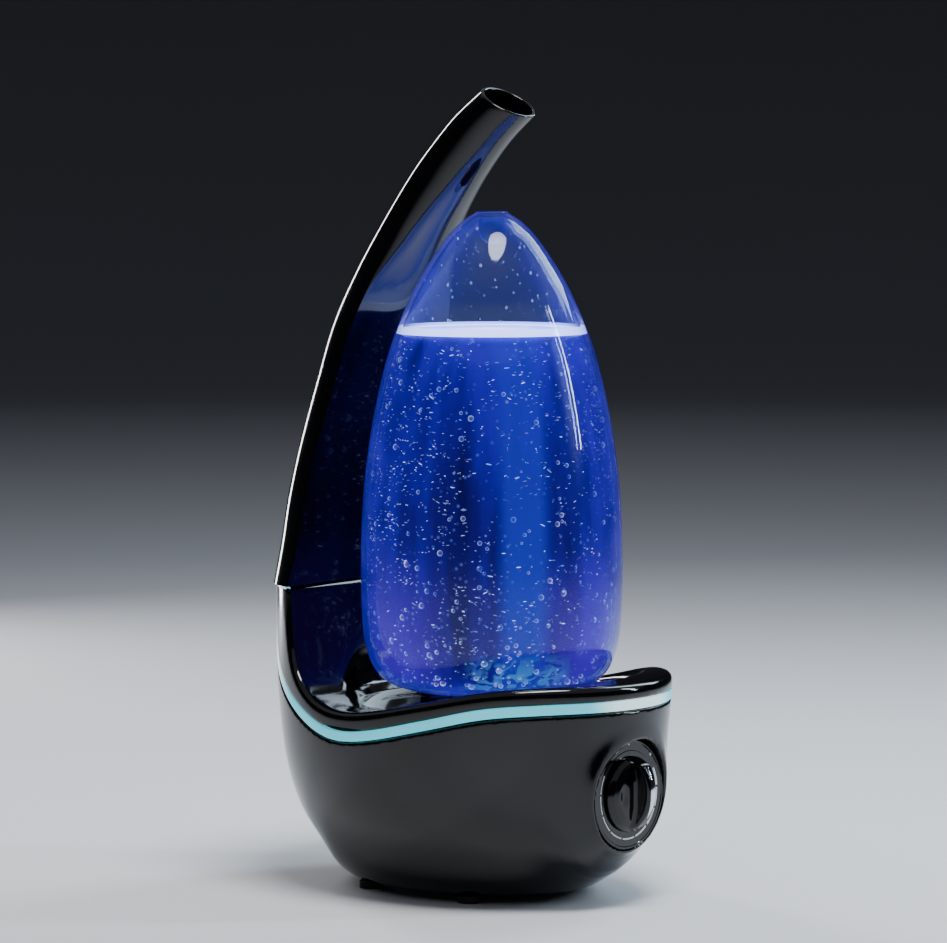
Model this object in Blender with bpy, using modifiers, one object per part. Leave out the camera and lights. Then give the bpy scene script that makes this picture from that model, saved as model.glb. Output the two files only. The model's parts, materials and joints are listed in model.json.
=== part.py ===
"""Cool mist humidifier: an egg-shaped water tank on a round base, with a tusk-shaped mist arm behind it.

Metres, +Z up. The origin is under the middle of the body, on the surface it stands on.
-Y is the front, with the control knob and the tip of the mist arm. +Y is the back.
Every outline below is in millimetres and is turned to metres as it is built.
"""

import math

import bmesh
import bpy
from mathutils import Matrix, Vector

MM = 0.001
GAP = 0.3  # clearance between neighbouring pieces, mm
WALL = 2.6  # wall of the lower housing, mm

# The body is oval in plan, and the tank stands a little forward of its middle.
BASE_Y = 6.0
BASE_HALF_WIDTH = 88.0
BASE_HALF_LENGTH = 113.0
TANK_Y = -7.0
SEAM_Z = 158.0  # where the mist arm lifts off the body
RIDGE_Y = 72.5  # the edge between the riser's flanks and its face, at the seam

# Body radius as a share of the plan oval, at each height.
BODY_SHAPE = [
    (1.0, 165), (1.0, 112), (0.99, 96), (0.972, 77), (0.948, 62),
    (0.91, 48), (0.86, 36), (0.785, 24), (0.71, 12), (0.645, 6), (0.58, 4.3), (0.45, 4.0),
]

# Side view (y, z) of the light strip's middle line, front to back.
STRIP_LINE = [
    (-122, 105.2), (-106, 105.2), (-83, 104.7), (-59, 102.3), (-30, 95.4), (0, 88.6), (22, 85.8),
    (38, 87.2), (55, 92.8), (72, 101.5), (86, 112), (93.5, 122), (97.5, 134), (99.2, 146), (99.5, 157),
]
STRIP_HALF = 2.5
SEAM_GLOW = 1.2  # height of the strip's leg under the arm's seam

# Side view (y, z) of the rim's crest, front to back.
CREST_LINE = [
    (-122, 115.6), (-106, 115.6), (-83, 115.8), (-59, 113.6), (-30, 107.2), (0, 100.8), (20, 98.4),
    (35, 99.4), (48, 103.5), (59, 111.5), (66, 122), (70, 136), (71.5, 150), (71.5, 172),
]

# Everything moves back by this much at the end, so that the origin is under the middle of the outline.
SHIFT_Y = -2.6

DECK_TOP = 97.0
DECK_UNDER = 92.5
BOWL = [(77.5, 175), (77.5, 118), (76.5, 109), (73, 102.5), (67, 98.6), (60, 97), (0, 97)]

# Tank outline (radius, z), down its outer side, then in to the neck.
TANK_OUTLINE = [
    (9, 352), (15.7, 347.4), (24.6, 338), (37.8, 317.5), (48.4, 294.5), (56.3, 270), (62.8, 239), (66.9, 205),
    (68.2, 168), (67.2, 137), (64.8, 124), (61, 115.4), (54.5, 109), (45, 105.6),
]
TANK_WALL = 2.4
NECK_R = 24.0
NECK_END = 100.6

# Screw cap under the neck, with a sprung valve in its middle.
CAP_R = NECK_R + 4.4
CAP_LOW, CAP_FLOOR, CAP_TOP = 97.4, 98.8, 104.6
OUTLET_R = 5.5
BRIDGE_LOW, BRIDGE_TOP = 112.0, 113.5
VALVE_TOP, VALVE_TIP = 115.0, 92.6
SKIRT_TOP = 100.6
PAD_RING, PAD_R, PAD_TOP = 42.0, 5.0, 104.4

# Mist arm: centre line (y, z), half width, depth behind, depth in front, tilt (degrees), back roundness.
# A negative front depth is a hollow face.
ARM_STATIONS = [
    (71.0, 158.2, 72.0, 47.8, -3.0, 0, 1.64),
    (68.5, 180, 67.0, 47.2, -3.0, 0, 1.70),
    (67.0, 203, 63.0, 44.5, -3.0, 0, 1.76),
    (65.4, 231, 55.0, 39.7, -2.5, 2, 1.86),
    (61.0, 263, 46.5, 35.2, -1.0, 5, 1.95),
    (56.2, 291, 39.5, 31.8, 2.0, 8, 2.0),
    (47.4, 317, 32.8, 28.0, 6.5, 13, 2.0),
    (38.0, 345, 24.8, 20.2, 13.0, 17, 2.0),
    (23.2, 369, 20.2, 17.9, 16.0, 21, 2.0),
    (9.0, 386, 17.8, 16.8, 16.5, 24, 2.0),
    (-3.2, 398, 16.5, 16.2, 16.4, 27, 2.0),
    (-18.0, 409.4, 15.5, 15.5, 15.5, 30, 2.0),
]
ARM_WALL = 2.2
# Inside passage of the body's back riser, which the arm's spigot drops into.
RISER = (76.5, 58.0, 33.0, 0.0, 1.7)
SPIGOT = (78.0, 56.3, 30.0, 0.0, 1.7)

# Knob axis height, and the plane of the dial's face.
KNOB_Z = 58.0
DIAL_FACE_Y = -98.0
DIAL_R = 28.3
DIAL_THICK = 2.0
KNOB_R = 20.5
KNOB_DOME_Y = -104.6
GRIP_HALF = 3.2
GRIP_R = 16.6
GRIP_FRONT_Y = -113.6

FOOT_X, FOOT_Y = 42.0, 33.5
FOOT_R, FOOT_H = 6.5, 3.7

TROUGH_Y, TROUGH_HALF_X, TROUGH_HALF_Y = 34.0, 44.0, 70.0
TROUGH_FLOOR, TROUGH_TOP = 62.0, 90.6
TRANSDUCER = (0.0, 82.0)
FLOAT_AT = (-16.0, 42.0)
PLATE_LOW, PLATE_TOP = 4.2, 6.6
CHASSIS_LOW, CHASSIS_TOP, CHASSIS_R = 9.0, 11.4, 71.0
SLOT_PITCH, SLOT_SIZE = 8.0, (4.0, 34.0, 10.0)
SCREW_X, SCREW_Y, SCREW_HOLE_R = 28.0, 26.0, 1.9

FAN_LOW, FAN_TOP = 12.0, 25.0
FAN_SIZE, FAN_THROAT_R, HUB_R = 50.0, 23.6, 9.5
BLADES, BLADE_PITCH = 7, 38
PIPE_R, PIPE_WALL = 6.6, 1.4
# Middle line of the air pipe, from the fan hood round the trough to the riser.
PIPE_ROUTE = [
    (0, BASE_Y, 41), (4, 8, 48), (20, 22, 53), (38, 45, 55),
    (45, 64, 58), (44.5, 78, 66), (43, 84, 78), (43, 85.5, 97),
]

BOARD_Y, BOARD_Z, BOARD_THICK = 50.0, 30.0, 1.6
BOARD_SIZE = (58.0, 32.0, BOARD_THICK)
SINK_X, SINK_SIZE, FINS, FIN_HEIGHT = -12.0, (26.0, 18.0, 3.0), 5, 10.0
INLET_Z, INLET_R = 20.0, 5.9
LED_Y, LED_R = -50.0, 9.0

BLACK = (0.010, 0.010, 0.012)
GREY = (0.10, 0.10, 0.11)
STEEL = (0.60, 0.60, 0.62)
RUBBER = (0.02, 0.02, 0.02)


# ---------------------------------------------------------------- materials and collections

def material(name, colour, roughness, metallic=0.0, alpha=1.0, glow=0.0):
    mat = bpy.data.materials.get(name) or bpy.data.materials.new(name)
    mat.use_nodes = True
    shader = mat.node_tree.nodes["Principled BSDF"]
    shader.inputs["Base Color"].default_value = (*colour, 1.0)
    shader.inputs["Roughness"].default_value = roughness
    shader.inputs["Metallic"].default_value = metallic
    shader.inputs["Alpha"].default_value = alpha
    shader.inputs["Emission Color"].default_value = (*colour, 1.0)
    shader.inputs["Emission Strength"].default_value = glow
    return mat


def gloss_black():
    return material("gloss_black_abs", BLACK, 0.08)


def dark_plastic():
    return material("dark_plastic", GREY, 0.5)


def start_scene():
    for ob in list(bpy.data.objects):
        bpy.data.objects.remove(ob, do_unlink=True)
    parts = bpy.data.collections.new("cool_mist_humidifier")
    bpy.context.scene.collection.children.link(parts)
    return parts


PARTS = start_scene()


# ---------------------------------------------------------------- making and joining meshes

def add(name, mesh, mat=None):
    ob = bpy.data.objects.new(name, mesh)
    PARTS.objects.link(ob)
    if mat:
        mesh.materials.clear()
        mesh.materials.append(mat)
    return ob


def settle(ob):
    """Apply an object's modifiers and its place, and weld the seams of what came from a curve."""
    name = ob.name
    mats = [m for m in ob.data.materials if m]
    bpy.context.view_layer.update()
    graph = bpy.context.evaluated_depsgraph_get()
    mesh = bpy.data.meshes.new_from_object(ob.evaluated_get(graph))
    mesh.transform(ob.matrix_world)
    bpy.data.objects.remove(ob, do_unlink=True)
    bm = bmesh.new()
    bm.from_mesh(mesh)
    bmesh.ops.remove_doubles(bm, verts=bm.verts, dist=1e-6)
    bm.to_mesh(mesh)
    bm.free()
    return add(name, mesh, mats[0] if mats else None)


def boolean(ob, other, operation):
    mod = ob.modifiers.new(operation.lower(), "BOOLEAN")
    mod.operation = operation
    mod.object = other
    mod.solver = "EXACT"
    ob = settle(ob)
    bpy.data.objects.remove(other, do_unlink=True)
    return ob


def cut(ob, other):
    return boolean(ob, other, "DIFFERENCE")


def join(ob, other):
    return boolean(ob, other, "UNION")


def common(ob, other):
    return boolean(ob, other, "INTERSECT")


def smooth(ob, angle=40):
    ob.data.shade_smooth()
    ob.data.set_sharp_from_angle(angle=math.radians(angle))
    return ob


def thicken(ob, thickness, offset=-1.0):
    mod = ob.modifiers.new("wall", "SOLIDIFY")
    mod.thickness = thickness * MM
    mod.offset = offset
    mod.use_even_offset = True
    return settle(ob)


def bevel(ob, width, segments=1, angle=50):
    mod = ob.modifiers.new("edge", "BEVEL")
    mod.width = width * MM
    mod.segments = segments
    mod.limit_method = "ANGLE"
    mod.angle_limit = math.radians(angle)
    return settle(ob)


def cylinder(name, radius, low, high, at=(0, 0), axis="Z", sides=24, mat=None, top_radius=None):
    """A solid cylinder or cone between two places on its axis. at gives its two other coordinates."""
    bm = bmesh.new()
    end = radius if top_radius is None else top_radius
    bmesh.ops.create_cone(
        bm, cap_ends=True, segments=sides, radius1=radius * MM, radius2=end * MM, depth=(high - low) * MM
    )
    mesh = bpy.data.meshes.new(name)
    bm.to_mesh(mesh)
    bm.free()
    middle = (low + high) / 2
    if axis == "Z":
        place = Matrix.Translation(Vector((at[0], at[1], middle)) * MM)
    else:
        place = Matrix.Translation(Vector((at[0], middle, at[1])) * MM) @ Matrix.Rotation(-math.pi / 2, 4, "X")
    mesh.transform(place)
    return add(name, mesh, mat)


def box(name, size, centre, mat=None):
    bm = bmesh.new()
    bmesh.ops.create_cube(bm, size=1.0)
    mesh = bpy.data.meshes.new(name)
    bm.to_mesh(mesh)
    bm.free()
    mesh.transform(Matrix.Translation(Vector(centre) * MM) @ Matrix.Diagonal((*(Vector(size) * MM), 1.0)))
    return add(name, mesh, mat)


def turned(name, profile, centre=(0, 0), width=1.0, sides=32, mat=None):
    """A profile (radius, z) turned about an upright axis, narrowed across X by width."""
    mesh = bpy.data.meshes.new(name)
    points = [(r * MM, 0.0, z * MM) for r, z in profile]
    mesh.from_pydata(points, [(i, i + 1) for i in range(len(points) - 1)], [])
    ob = add(name, mesh, mat)
    mod = ob.modifiers.new("turn", "SCREW")
    mod.steps = sides
    mod.render_steps = sides
    mod.use_merge_vertices = True
    mod.merge_threshold = 0.00001
    ob.location = (centre[0] * MM, centre[1] * MM, 0.0)
    ob.scale = (width, 1.0, 1.0)
    return settle(ob)


def ring(name, outer, inner, low, high, at=(0, 0), axis="Z", sides=32, mat=None):
    ob = cylinder(name, outer, low, high, at, axis, sides, mat)
    return cut(ob, cylinder("bore", inner, low - 1, high + 1, at, axis, max(sides, 20)))


def side_plate(name, outline, half_width=140.0):
    """An outline (y, z) as a plate across the whole width, for cutting the body."""
    curve = bpy.data.curves.new(name, "CURVE")
    curve.dimensions = "2D"
    curve.fill_mode = "BOTH"
    curve.extrude = half_width * MM
    line = curve.splines.new("POLY")
    line.points.add(len(outline) - 1)
    for point, (y, z) in zip(line.points, outline):
        point.co = (y * MM, z * MM, 0.0, 1.0)
    line.use_cyclic_u = True
    ob = add(name, curve)
    ob.matrix_world = Matrix(((0, 0, 1, 0), (1, 0, 0, 0), (0, 1, 0, 0), (0, 0, 0, 1)))
    return settle(ob)


def smooth_line(points, steps=2):
    """A Catmull-Rom curve through the points."""
    pts = [Vector(p) for p in points]
    pts = [2 * pts[0] - pts[1]] + pts + [2 * pts[-1] - pts[-2]]
    out = []
    for a, b, c, d in zip(pts, pts[1:], pts[2:], pts[3:]):
        for k in range(steps):
            t = k / steps
            out.append(0.5 * (2 * b + (c - a) * t + (2 * a - 5 * b + 4 * c - d) * t**2
                              + (3 * b - a - 3 * c + d) * t**3))
    return [tuple(p) for p in out] + [tuple(pts[-2])]


def offset_line(points, distance):
    """The line moved sideways, to its left for a positive distance."""
    out = []
    for i, p in enumerate(points):
        before = Vector(points[max(i - 1, 0)])
        after = Vector(points[min(i + 1, len(points) - 1)])
        along = (after - before).normalized()
        out.append((p[0] - along.y * distance, p[1] + along.x * distance))
    return out


def loft(name, rings, mat=None, closed=False):
    """A skin over rings of equal numbers of points, open or capped at its two ends."""
    bm = bmesh.new()
    rows = [[bm.verts.new(Vector(p) * MM) for p in ring_points] for ring_points in rings]
    count = len(rows[0])
    for low, high in zip(rows, rows[1:]):
        for i in range(count):
            j = (i + 1) % count
            bm.faces.new((low[i], low[j], high[j], high[i]))
    if closed:
        bm.faces.new(list(reversed(rows[0])))
        bm.faces.new(rows[-1])
    bmesh.ops.recalc_face_normals(bm, faces=bm.faces)
    mesh = bpy.data.meshes.new(name)
    bm.to_mesh(mesh)
    bm.free()
    return add(name, mesh, mat)


# ---------------------------------------------------------------- the body

def body_profile(inset=0.0):
    return [(share * BASE_HALF_LENGTH - inset, z) for share, z in BODY_SHAPE]


def body_solid(name, inset, low, high):
    """The body's outer shape as a solid between two heights, moved in by inset."""
    profile = [(0.0, 165.0)] + body_profile(inset) + [(0.0, 4.0)]
    ob = turned(name, profile, (0, BASE_Y), (BASE_HALF_WIDTH - inset) / (BASE_HALF_LENGTH - inset), 44)
    return common(ob, box("band", (240, 300, high - low), (0, 0, (low + high) / 2)))


def strip_edges():
    line = smooth_line(STRIP_LINE)
    return offset_line(line, -STRIP_HALF), offset_line(line, STRIP_HALF)


def strip_outline():
    """Side view of the light strip: the S-shaped ribbon and its thin leg forward under the seam."""
    outer, inner = strip_edges()
    top = SEAM_Z - GAP
    leg = top - SEAM_GLOW
    outer = [p for p in outer if p[1] < leg]
    inner = [p for p in inner if p[1] < leg - 1]
    return outer + [(outer[-1][0], top), (RIDGE_Y, top), (RIDGE_Y, leg), (inner[-1][0], leg)] + inner[::-1]


def above_strip(shift):
    """Everything above the strip's lower edge, moved down by shift."""
    line = offset_line(smooth_line(STRIP_LINE), -(STRIP_HALF + shift))
    line = [p for p in line if p[1] < SEAM_Z - 1]
    return [(-140, line[0][1])] + line + [(line[-1][0], 180), (-140, 180)]


def below_strip(shift):
    """Everything below the strip's upper edge and behind its climbing part, moved up by shift."""
    line = offset_line(smooth_line(STRIP_LINE), STRIP_HALF + shift)
    leg = SEAM_Z - GAP - SEAM_GLOW - shift
    line = [p for p in line if p[1] < leg - 1]
    back = [(line[-1][0], leg), (50, leg), (50, 180), (140, 180), (140, 60), (-140, 60)]
    return [(-140, line[0][1])] + line + back


def lower_housing():
    ratio = BASE_HALF_WIDTH / BASE_HALF_LENGTH
    body = turned("lower_housing", body_profile(), (0, BASE_Y), ratio, 44, gloss_black())
    body = thicken(body, WALL)
    body = cut(body, side_plate("above", above_strip(GAP)))
    body = cut(body, box("over_seam", (240, 300, 20), (0, 0, SEAM_Z - GAP + 10)))
    socket = cylinder("socket", 31.0, -112, -86, (0, KNOB_Z), "Y", 32)
    socket = common(socket, body_solid("envelope", 0.3, 5, 95))
    flare = flared_boss()
    body = join(body, socket)
    body = join(body, flare)
    pocket_end = DIAL_FACE_Y + DIAL_THICK + GAP
    body = cut(body, cylinder("pocket", DIAL_R + GAP, -130, pocket_end, (0, KNOB_Z), "Y", 32))
    body = cut(body, cylinder("behind", 26.0, -93.2, -60, (0, KNOB_Z), "Y", 32))
    body = cut(body, cylinder("shaft_hole", 3.8, -100, -80, (0, KNOB_Z), "Y", 16))
    body = cut(body, cylinder("inlet_hole", INLET_R + 0.4, 70, 110, (0, INLET_Z), "Y", 20))
    return smooth(body)


def flared_boss():
    """The raised collar that carries the dial where the nose of the body falls away below it."""
    profile = [
        (0, -97.3), (29.9, -97.3), (30.6, -96.2), (33.0, -92.5), (37.5, -88.0), (42.0, -86.0), (0, -86.0),
    ]
    boss = turned("boss", [(r, -y) for r, y in profile], sides=32)
    boss.data.transform(Matrix.Translation((0, 0, KNOB_Z * MM)) @ Matrix.Rotation(math.pi / 2, 4, "X"))
    return common(boss, box("under_deck", (120, 60, 80), (0, -100, 50)))


def light_strip():
    mat = material("strip_diffuser", (0.28, 0.66, 0.74), 0.35, glow=1.0)
    profile = [p for p in body_profile() if p[1] > 50]
    strip = turned("light_strip", profile, (0, BASE_Y), BASE_HALF_WIDTH / BASE_HALF_LENGTH, 44, mat)
    strip = thicken(strip, WALL)
    return smooth(common(strip, side_plate("ribbon", strip_outline())))


def d_outline(spec, z, count=28):
    """A D-shaped outline, from (ridge y, half width, depth behind, depth in front, roundness)."""
    y, half, behind, front, power = spec
    out = []
    for i in range(count):
        angle = 2 * math.pi * i / count
        x = half * math.cos(angle)
        side = math.sin(angle)
        if side >= 0:
            share = abs(math.cos(angle))
            out.append((x, y + behind * (1 - share**power) ** (1 / power), z))
        else:
            out.append((x, y - front * (1 - math.cos(angle) ** 2), z))
    return out


def rim_cover():
    inner = body_solid("rim_cover", WALL + 0.4, DECK_UNDER, SEAM_Z - GAP - SEAM_GLOW - GAP)
    band = body_solid("band_solid", 0.0, 80, SEAM_Z - GAP)
    band = cut(band, side_plate("below", below_strip(GAP)))
    band = cut(band, body_solid("under_deck", 2 * WALL, 70, DECK_UNDER))
    cover = join(inner, band)
    cover.data.materials.clear()
    cover.data.materials.append(gloss_black())
    crest = smooth_line(CREST_LINE)
    cover = cut(cover, side_plate("over_crest", [(-140, crest[0][1])] + crest + [(-140, crest[-1][1])]))
    bowl = [(0, BOWL[0][1])] + BOWL
    cover = cut(cover, turned("bowl", bowl, (0, TANK_Y), sides=48))
    passage = [d_outline(RISER, z) for z in (DECK_UNDER - 2, SEAM_Z + 5)]
    cover = cut(cover, loft("passage", passage, closed=True))
    cover = cut(cover, cylinder("valve_well", 12.0, 85, 104, (0, TANK_Y), sides=24))
    cover = cut(cover, cylinder("lens_hole", LED_R + GAP, 85, 104, (0, LED_Y), sides=20))
    return smooth(cover)


def base_plates():
    ratio = BASE_HALF_WIDTH / BASE_HALF_LENGTH
    plate_r = BODY_SHAPE[-1][0] * BASE_HALF_LENGTH - GAP
    plate = oval_plate("bottom_plate", plate_r, PLATE_LOW, PLATE_TOP, ratio, dark_plastic())
    for k in range(6):
        x = (k - 2.5) * SLOT_PITCH
        plate = cut(plate, box("slot", SLOT_SIZE, (x, BASE_Y, PLATE_LOW)))
    screw_holes(plate)
    grey = material("chassis_plastic", (0.35, 0.35, 0.36), 0.6)
    chassis = oval_plate("chassis", CHASSIS_R, CHASSIS_LOW, CHASSIS_TOP, ratio, grey)
    chassis = cut(chassis, cylinder("fan_hole", FAN_THROAT_R - 0.6, 5, 15, (0, BASE_Y), sides=32))
    screw_holes(chassis)


def oval_plate(name, radius, low, high, ratio, mat):
    return turned(name, [(0, high), (radius, high), (radius, low), (0, low)], (0, BASE_Y), ratio, mat=mat)


def screw_places():
    return [(sx * SCREW_X, BASE_Y + sy * SCREW_Y) for sx in (-1, 1) for sy in (-1, 1)]


def screw_holes(plate):
    for place in screw_places():
        plate = cut(plate, cylinder("hole", SCREW_HOLE_R, 0, 15, place, sides=12))


def plate_screws():
    mat = material("zinc_steel", STEEL, 0.3, 1.0)
    for i, place in enumerate(screw_places(), 1):
        head_top = PLATE_LOW - GAP
        screw = cylinder(f"plate_screw_{i}", 3.2, head_top - 1.5, head_top, place, sides=14, mat=mat)
        join(screw, cylinder("shank", SCREW_HOLE_R - 0.4, head_top - 0.4, 16.0, place, sides=10))


def feet():
    mat = material("black_rubber", RUBBER, 0.8)
    for i, (sx, sy) in enumerate([(-1, -1), (1, -1), (-1, 1), (1, 1)], 1):
        place = (sx * FOOT_X, BASE_Y + sy * FOOT_Y)
        smooth(cylinder(f"foot_{i}", FOOT_R, 0, FOOT_H, place, sides=24, mat=mat))


# ---------------------------------------------------------------- knob and dial

def dial_and_knob():
    face, back = DIAL_FACE_Y, DIAL_FACE_Y + DIAL_THICK
    smooth(ring("dial_plate", DIAL_R, 4.0, face, back, (0, KNOB_Z), "Y", 32, gloss_black()))
    steel = material("pot_case", STEEL, 0.35, 1.0)
    pot = cylinder("potentiometer", 8.5, -92.9, -84, (0, KNOB_Z), "Y", 24, steel)
    smooth(join(pot, cylinder("bushing", 3.3, -100.0, -92, (0, KNOB_Z), "Y", 16)))
    brass = material("nut_brass", (0.6, 0.5, 0.25), 0.3, 1.0)
    ring("pot_nut", 6.0, 3.6, -100.2, face - GAP, (0, KNOB_Z), "Y", 6, brass)
    smooth(cylinder("knob_shaft", 2.9, -109, -100.5, (0, KNOB_Z), "Y", 16, steel))
    smooth(control_knob())
    chrome = material("chrome_trim", (0.8, 0.8, 0.82), 0.06, 1.0)
    trim = box("knob_trim", (2.6, 1.6, 27.0), (0, GRIP_FRONT_Y + 0.6, KNOB_Z), chrome)
    bevel(trim, 0.3)


def control_knob():
    """A low dome with an upright finger grip across it."""
    back = DIAL_FACE_Y - 0.4
    profile = [
        (0, KNOB_DOME_Y), (9.0, KNOB_DOME_Y + 0.2), (14.5, KNOB_DOME_Y + 1.2), (18.2, KNOB_DOME_Y + 2.6),
        (KNOB_R - 0.4, back - 1.8), (KNOB_R, back - 1.0), (KNOB_R, back), (0, back),
    ]
    knob = turned("control_knob", [(r, -y) for r, y in profile], sides=32, mat=gloss_black())
    knob.data.transform(Matrix.Translation((0, 0, KNOB_Z * MM)) @ Matrix.Rotation(math.pi / 2, 4, "X"))
    grip = cylinder("grip", GRIP_R, GRIP_FRONT_Y, -101, (0, KNOB_Z), "Y", 32, top_radius=GRIP_R + 1.0)
    grip = common(grip, box("slice", (2 * GRIP_HALF, 20, 60), (0, GRIP_FRONT_Y + 6, KNOB_Z)))
    knob = join(knob, bevel(grip, 0.8))
    knob = cut(knob, cylinder("nut_room", 7.2, -101.8, -90, (0, KNOB_Z), "Y", 24))
    knob = cut(knob, cylinder("shaft_bore", 3.2, -109.4, -95, (0, KNOB_Z), "Y", 16))
    return cut(knob, box("trim_slot", (3.2, 3.4, 27.6), (0, GRIP_FRONT_Y, KNOB_Z)))


# ---------------------------------------------------------------- mist arm

def arm_section(station):
    y, z, half, behind, front, tilt, power = station
    count = 32
    tilt = math.radians(tilt)
    round_front = min(max(front / 14.0, 0.0), 1.0)
    fall = 1.0 - 0.5 * round_front
    out = []
    for i in range(count):
        angle = 2 * math.pi * i / count
        share = abs(math.cos(angle))
        if math.sin(angle) >= 0:
            depth = behind * max(1 - share**power, 0) ** (1 / power)
        else:
            depth = -front * max(1 - share**2, 0) ** fall
        out.append((half * math.cos(angle), y + depth * math.cos(tilt), z + depth * math.sin(tilt)))
    return out


def mist_arm():
    arm = loft("mist_arm", [arm_section(s) for s in ARM_STATIONS], gloss_black())
    smooth(thicken(arm, ARM_WALL))
    spigot = loft("arm_spigot", [d_outline(SPIGOT, z) for z in (150.0, 166.0)], gloss_black())
    thicken(spigot, 1.6)


# ---------------------------------------------------------------- tank, cap and valve

def tank():
    blue = material("tank_blue_clear", (0.10, 0.20, 0.95), 0.03, alpha=0.35)
    outline = [(0, 352.0)] + TANK_OUTLINE + [(NECK_R + 1, 105.3), (NECK_R, 104.6), (NECK_R, NECK_END)]
    shell = turned("tank_shell", outline, (0, TANK_Y), sides=32, mat=blue)
    smooth(thicken(shell, TANK_WALL))
    smooth(cylinder("tank_crown", 8.4, 352.3, 353.2, (0, TANK_Y), sides=24, mat=blue))


def cap_and_valve():
    grey = dark_plastic()
    white = material("valve_plastic", (0.8,) * 3, 0.5)
    silicone = material("seal_silicone", (0.7,) * 3, 0.6)
    at = (0, TANK_Y)
    cap = cylinder("tank_cap", CAP_R, CAP_LOW, CAP_TOP, at, sides=36, mat=grey)
    cap = cut(cap, cylinder("inside", NECK_R + 0.6, CAP_FLOOR, 110, at, sides=36))
    cap = cut(cap, cylinder("outlet", OUTLET_R, 90, 110, at, sides=20))
    for i in range(3):
        angle = 2 * math.pi * i / 3
        leg_r = OUTLET_R + 1.4
        place = (leg_r * math.cos(angle), TANK_Y + leg_r * math.sin(angle))
        cap = join(cap, cylinder("leg", 1.0, CAP_FLOOR - 0.5, BRIDGE_LOW + 0.5, place, sides=8))
    smooth(join(cap, ring("bridge", 8.2, 2.6, BRIDGE_LOW, BRIDGE_TOP, at, sides=24)))
    ring("cap_seal", NECK_R - 0.2, NECK_R - 2.6, CAP_FLOOR + GAP, NECK_END - GAP, at, mat=silicone)
    plunger = cylinder("valve_plunger", 1.9, VALVE_TIP, VALVE_TOP, at, sides=14, mat=white)
    smooth(join(plunger, cylinder("skirt", 4.6, CAP_FLOOR + GAP, SKIRT_TOP, at, sides=20)))
    valve_spring(SKIRT_TOP + GAP, BRIDGE_LOW - GAP)
    smooth(ring("valve_disc", 5.6, 4.9, CAP_FLOOR + GAP, SKIRT_TOP, at, sides=20, mat=silicone))
    pads(grey)


def valve_spring(low, high):
    turns, per_turn, wire, radius = 4, 10, 0.35, 3.6
    curve = bpy.data.curves.new("valve_spring", "CURVE")
    curve.dimensions = "3D"
    curve.bevel_depth = wire * MM
    curve.bevel_resolution = 1
    curve.use_fill_caps = True
    line = curve.splines.new("POLY")
    count = turns * per_turn
    line.points.add(count)
    for i, point in enumerate(line.points):
        angle = 2 * math.pi * i / per_turn
        z = low + wire + (high - low - 2 * wire) * i / count
        place = Vector((radius * math.cos(angle), TANK_Y + radius * math.sin(angle), z)) * MM
        point.co = (*place, 1.0)
    ob = add("valve_spring", curve)
    curve.materials.append(material("spring_steel", STEEL, 0.25, 1.0))
    settle(ob)


def pads(mat):
    """Three pads on the deck that the tank rests on. The way forward is left open."""
    for i, angle in enumerate((0, 90, 180), 1):
        angle = math.radians(angle)
        place = (PAD_RING * math.cos(angle), TANK_Y + PAD_RING * math.sin(angle))
        smooth(cylinder(f"tank_pad_{i}", PAD_R, DECK_TOP + GAP, PAD_TOP, place, sides=16, mat=mat))


# ---------------------------------------------------------------- water path

def trough():
    white = material("trough_plastic", (0.75, 0.76, 0.77), 0.4)
    silicone = material("seal_silicone", (0.7,) * 3, 0.6)
    ratio = TROUGH_HALF_X / TROUGH_HALF_Y
    half = TROUGH_HALF_Y
    profile = [(half, TROUGH_TOP), (half - 0.5, TROUGH_FLOOR + 6), (half - 6, TROUGH_FLOOR), (0, TROUGH_FLOOR)]
    tub = turned("water_trough", profile, (0, TROUGH_Y), ratio, 32, white)
    tub = thicken(tub, 2.0)
    smooth(cut(tub, cylinder("disc_hole", 8.0, 55, 70, TRANSDUCER, sides=24)))
    lip = [(half, DECK_UNDER - GAP), (half, TROUGH_TOP + GAP)]
    thicken(turned("trough_seal", lip, (0, TROUGH_Y), ratio, 32, silicone), 1.8)
    steel = material("disc_steel", STEEL, 0.2, 1.0)
    rubber = material("black_rubber", RUBBER, 0.8)
    disc_top = TROUGH_FLOOR - 0.4
    smooth(cylinder("transducer_disc", 10.0, disc_top - 1.4, disc_top, TRANSDUCER, sides=28, mat=steel))
    smooth(ring("transducer_gasket", 12.2, 10.4, disc_top - 2.0, disc_top, TRANSDUCER, sides=28, mat=rubber))
    holder_top = disc_top - 2.0 - GAP
    holder = cylinder("transducer_holder", 14.5, 55.0, holder_top, TRANSDUCER, sides=28, mat=dark_plastic())
    smooth(cut(holder, cylinder("back", 7.0, 50, 62, TRANSDUCER, sides=24)))
    float_and_pins(white)


def float_and_pins(white):
    floor = TROUGH_FLOOR + 2.0 + GAP
    foam = material("float_foam", (0.85, 0.84, 0.8), 0.7)
    smooth(cylinder("valve_pin", 2.5, floor, VALVE_TIP - 0.6, (0, TANK_Y), sides=16, mat=white))
    smooth(cylinder("float_pin", 1.8, floor, 89.5, FLOAT_AT, sides=12, mat=white))
    smooth(ring("float_ring", 9.0, 2.3, 66.0, 76.0, FLOAT_AT, sides=24, mat=foam))


# ---------------------------------------------------------------- fan and electronics

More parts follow.
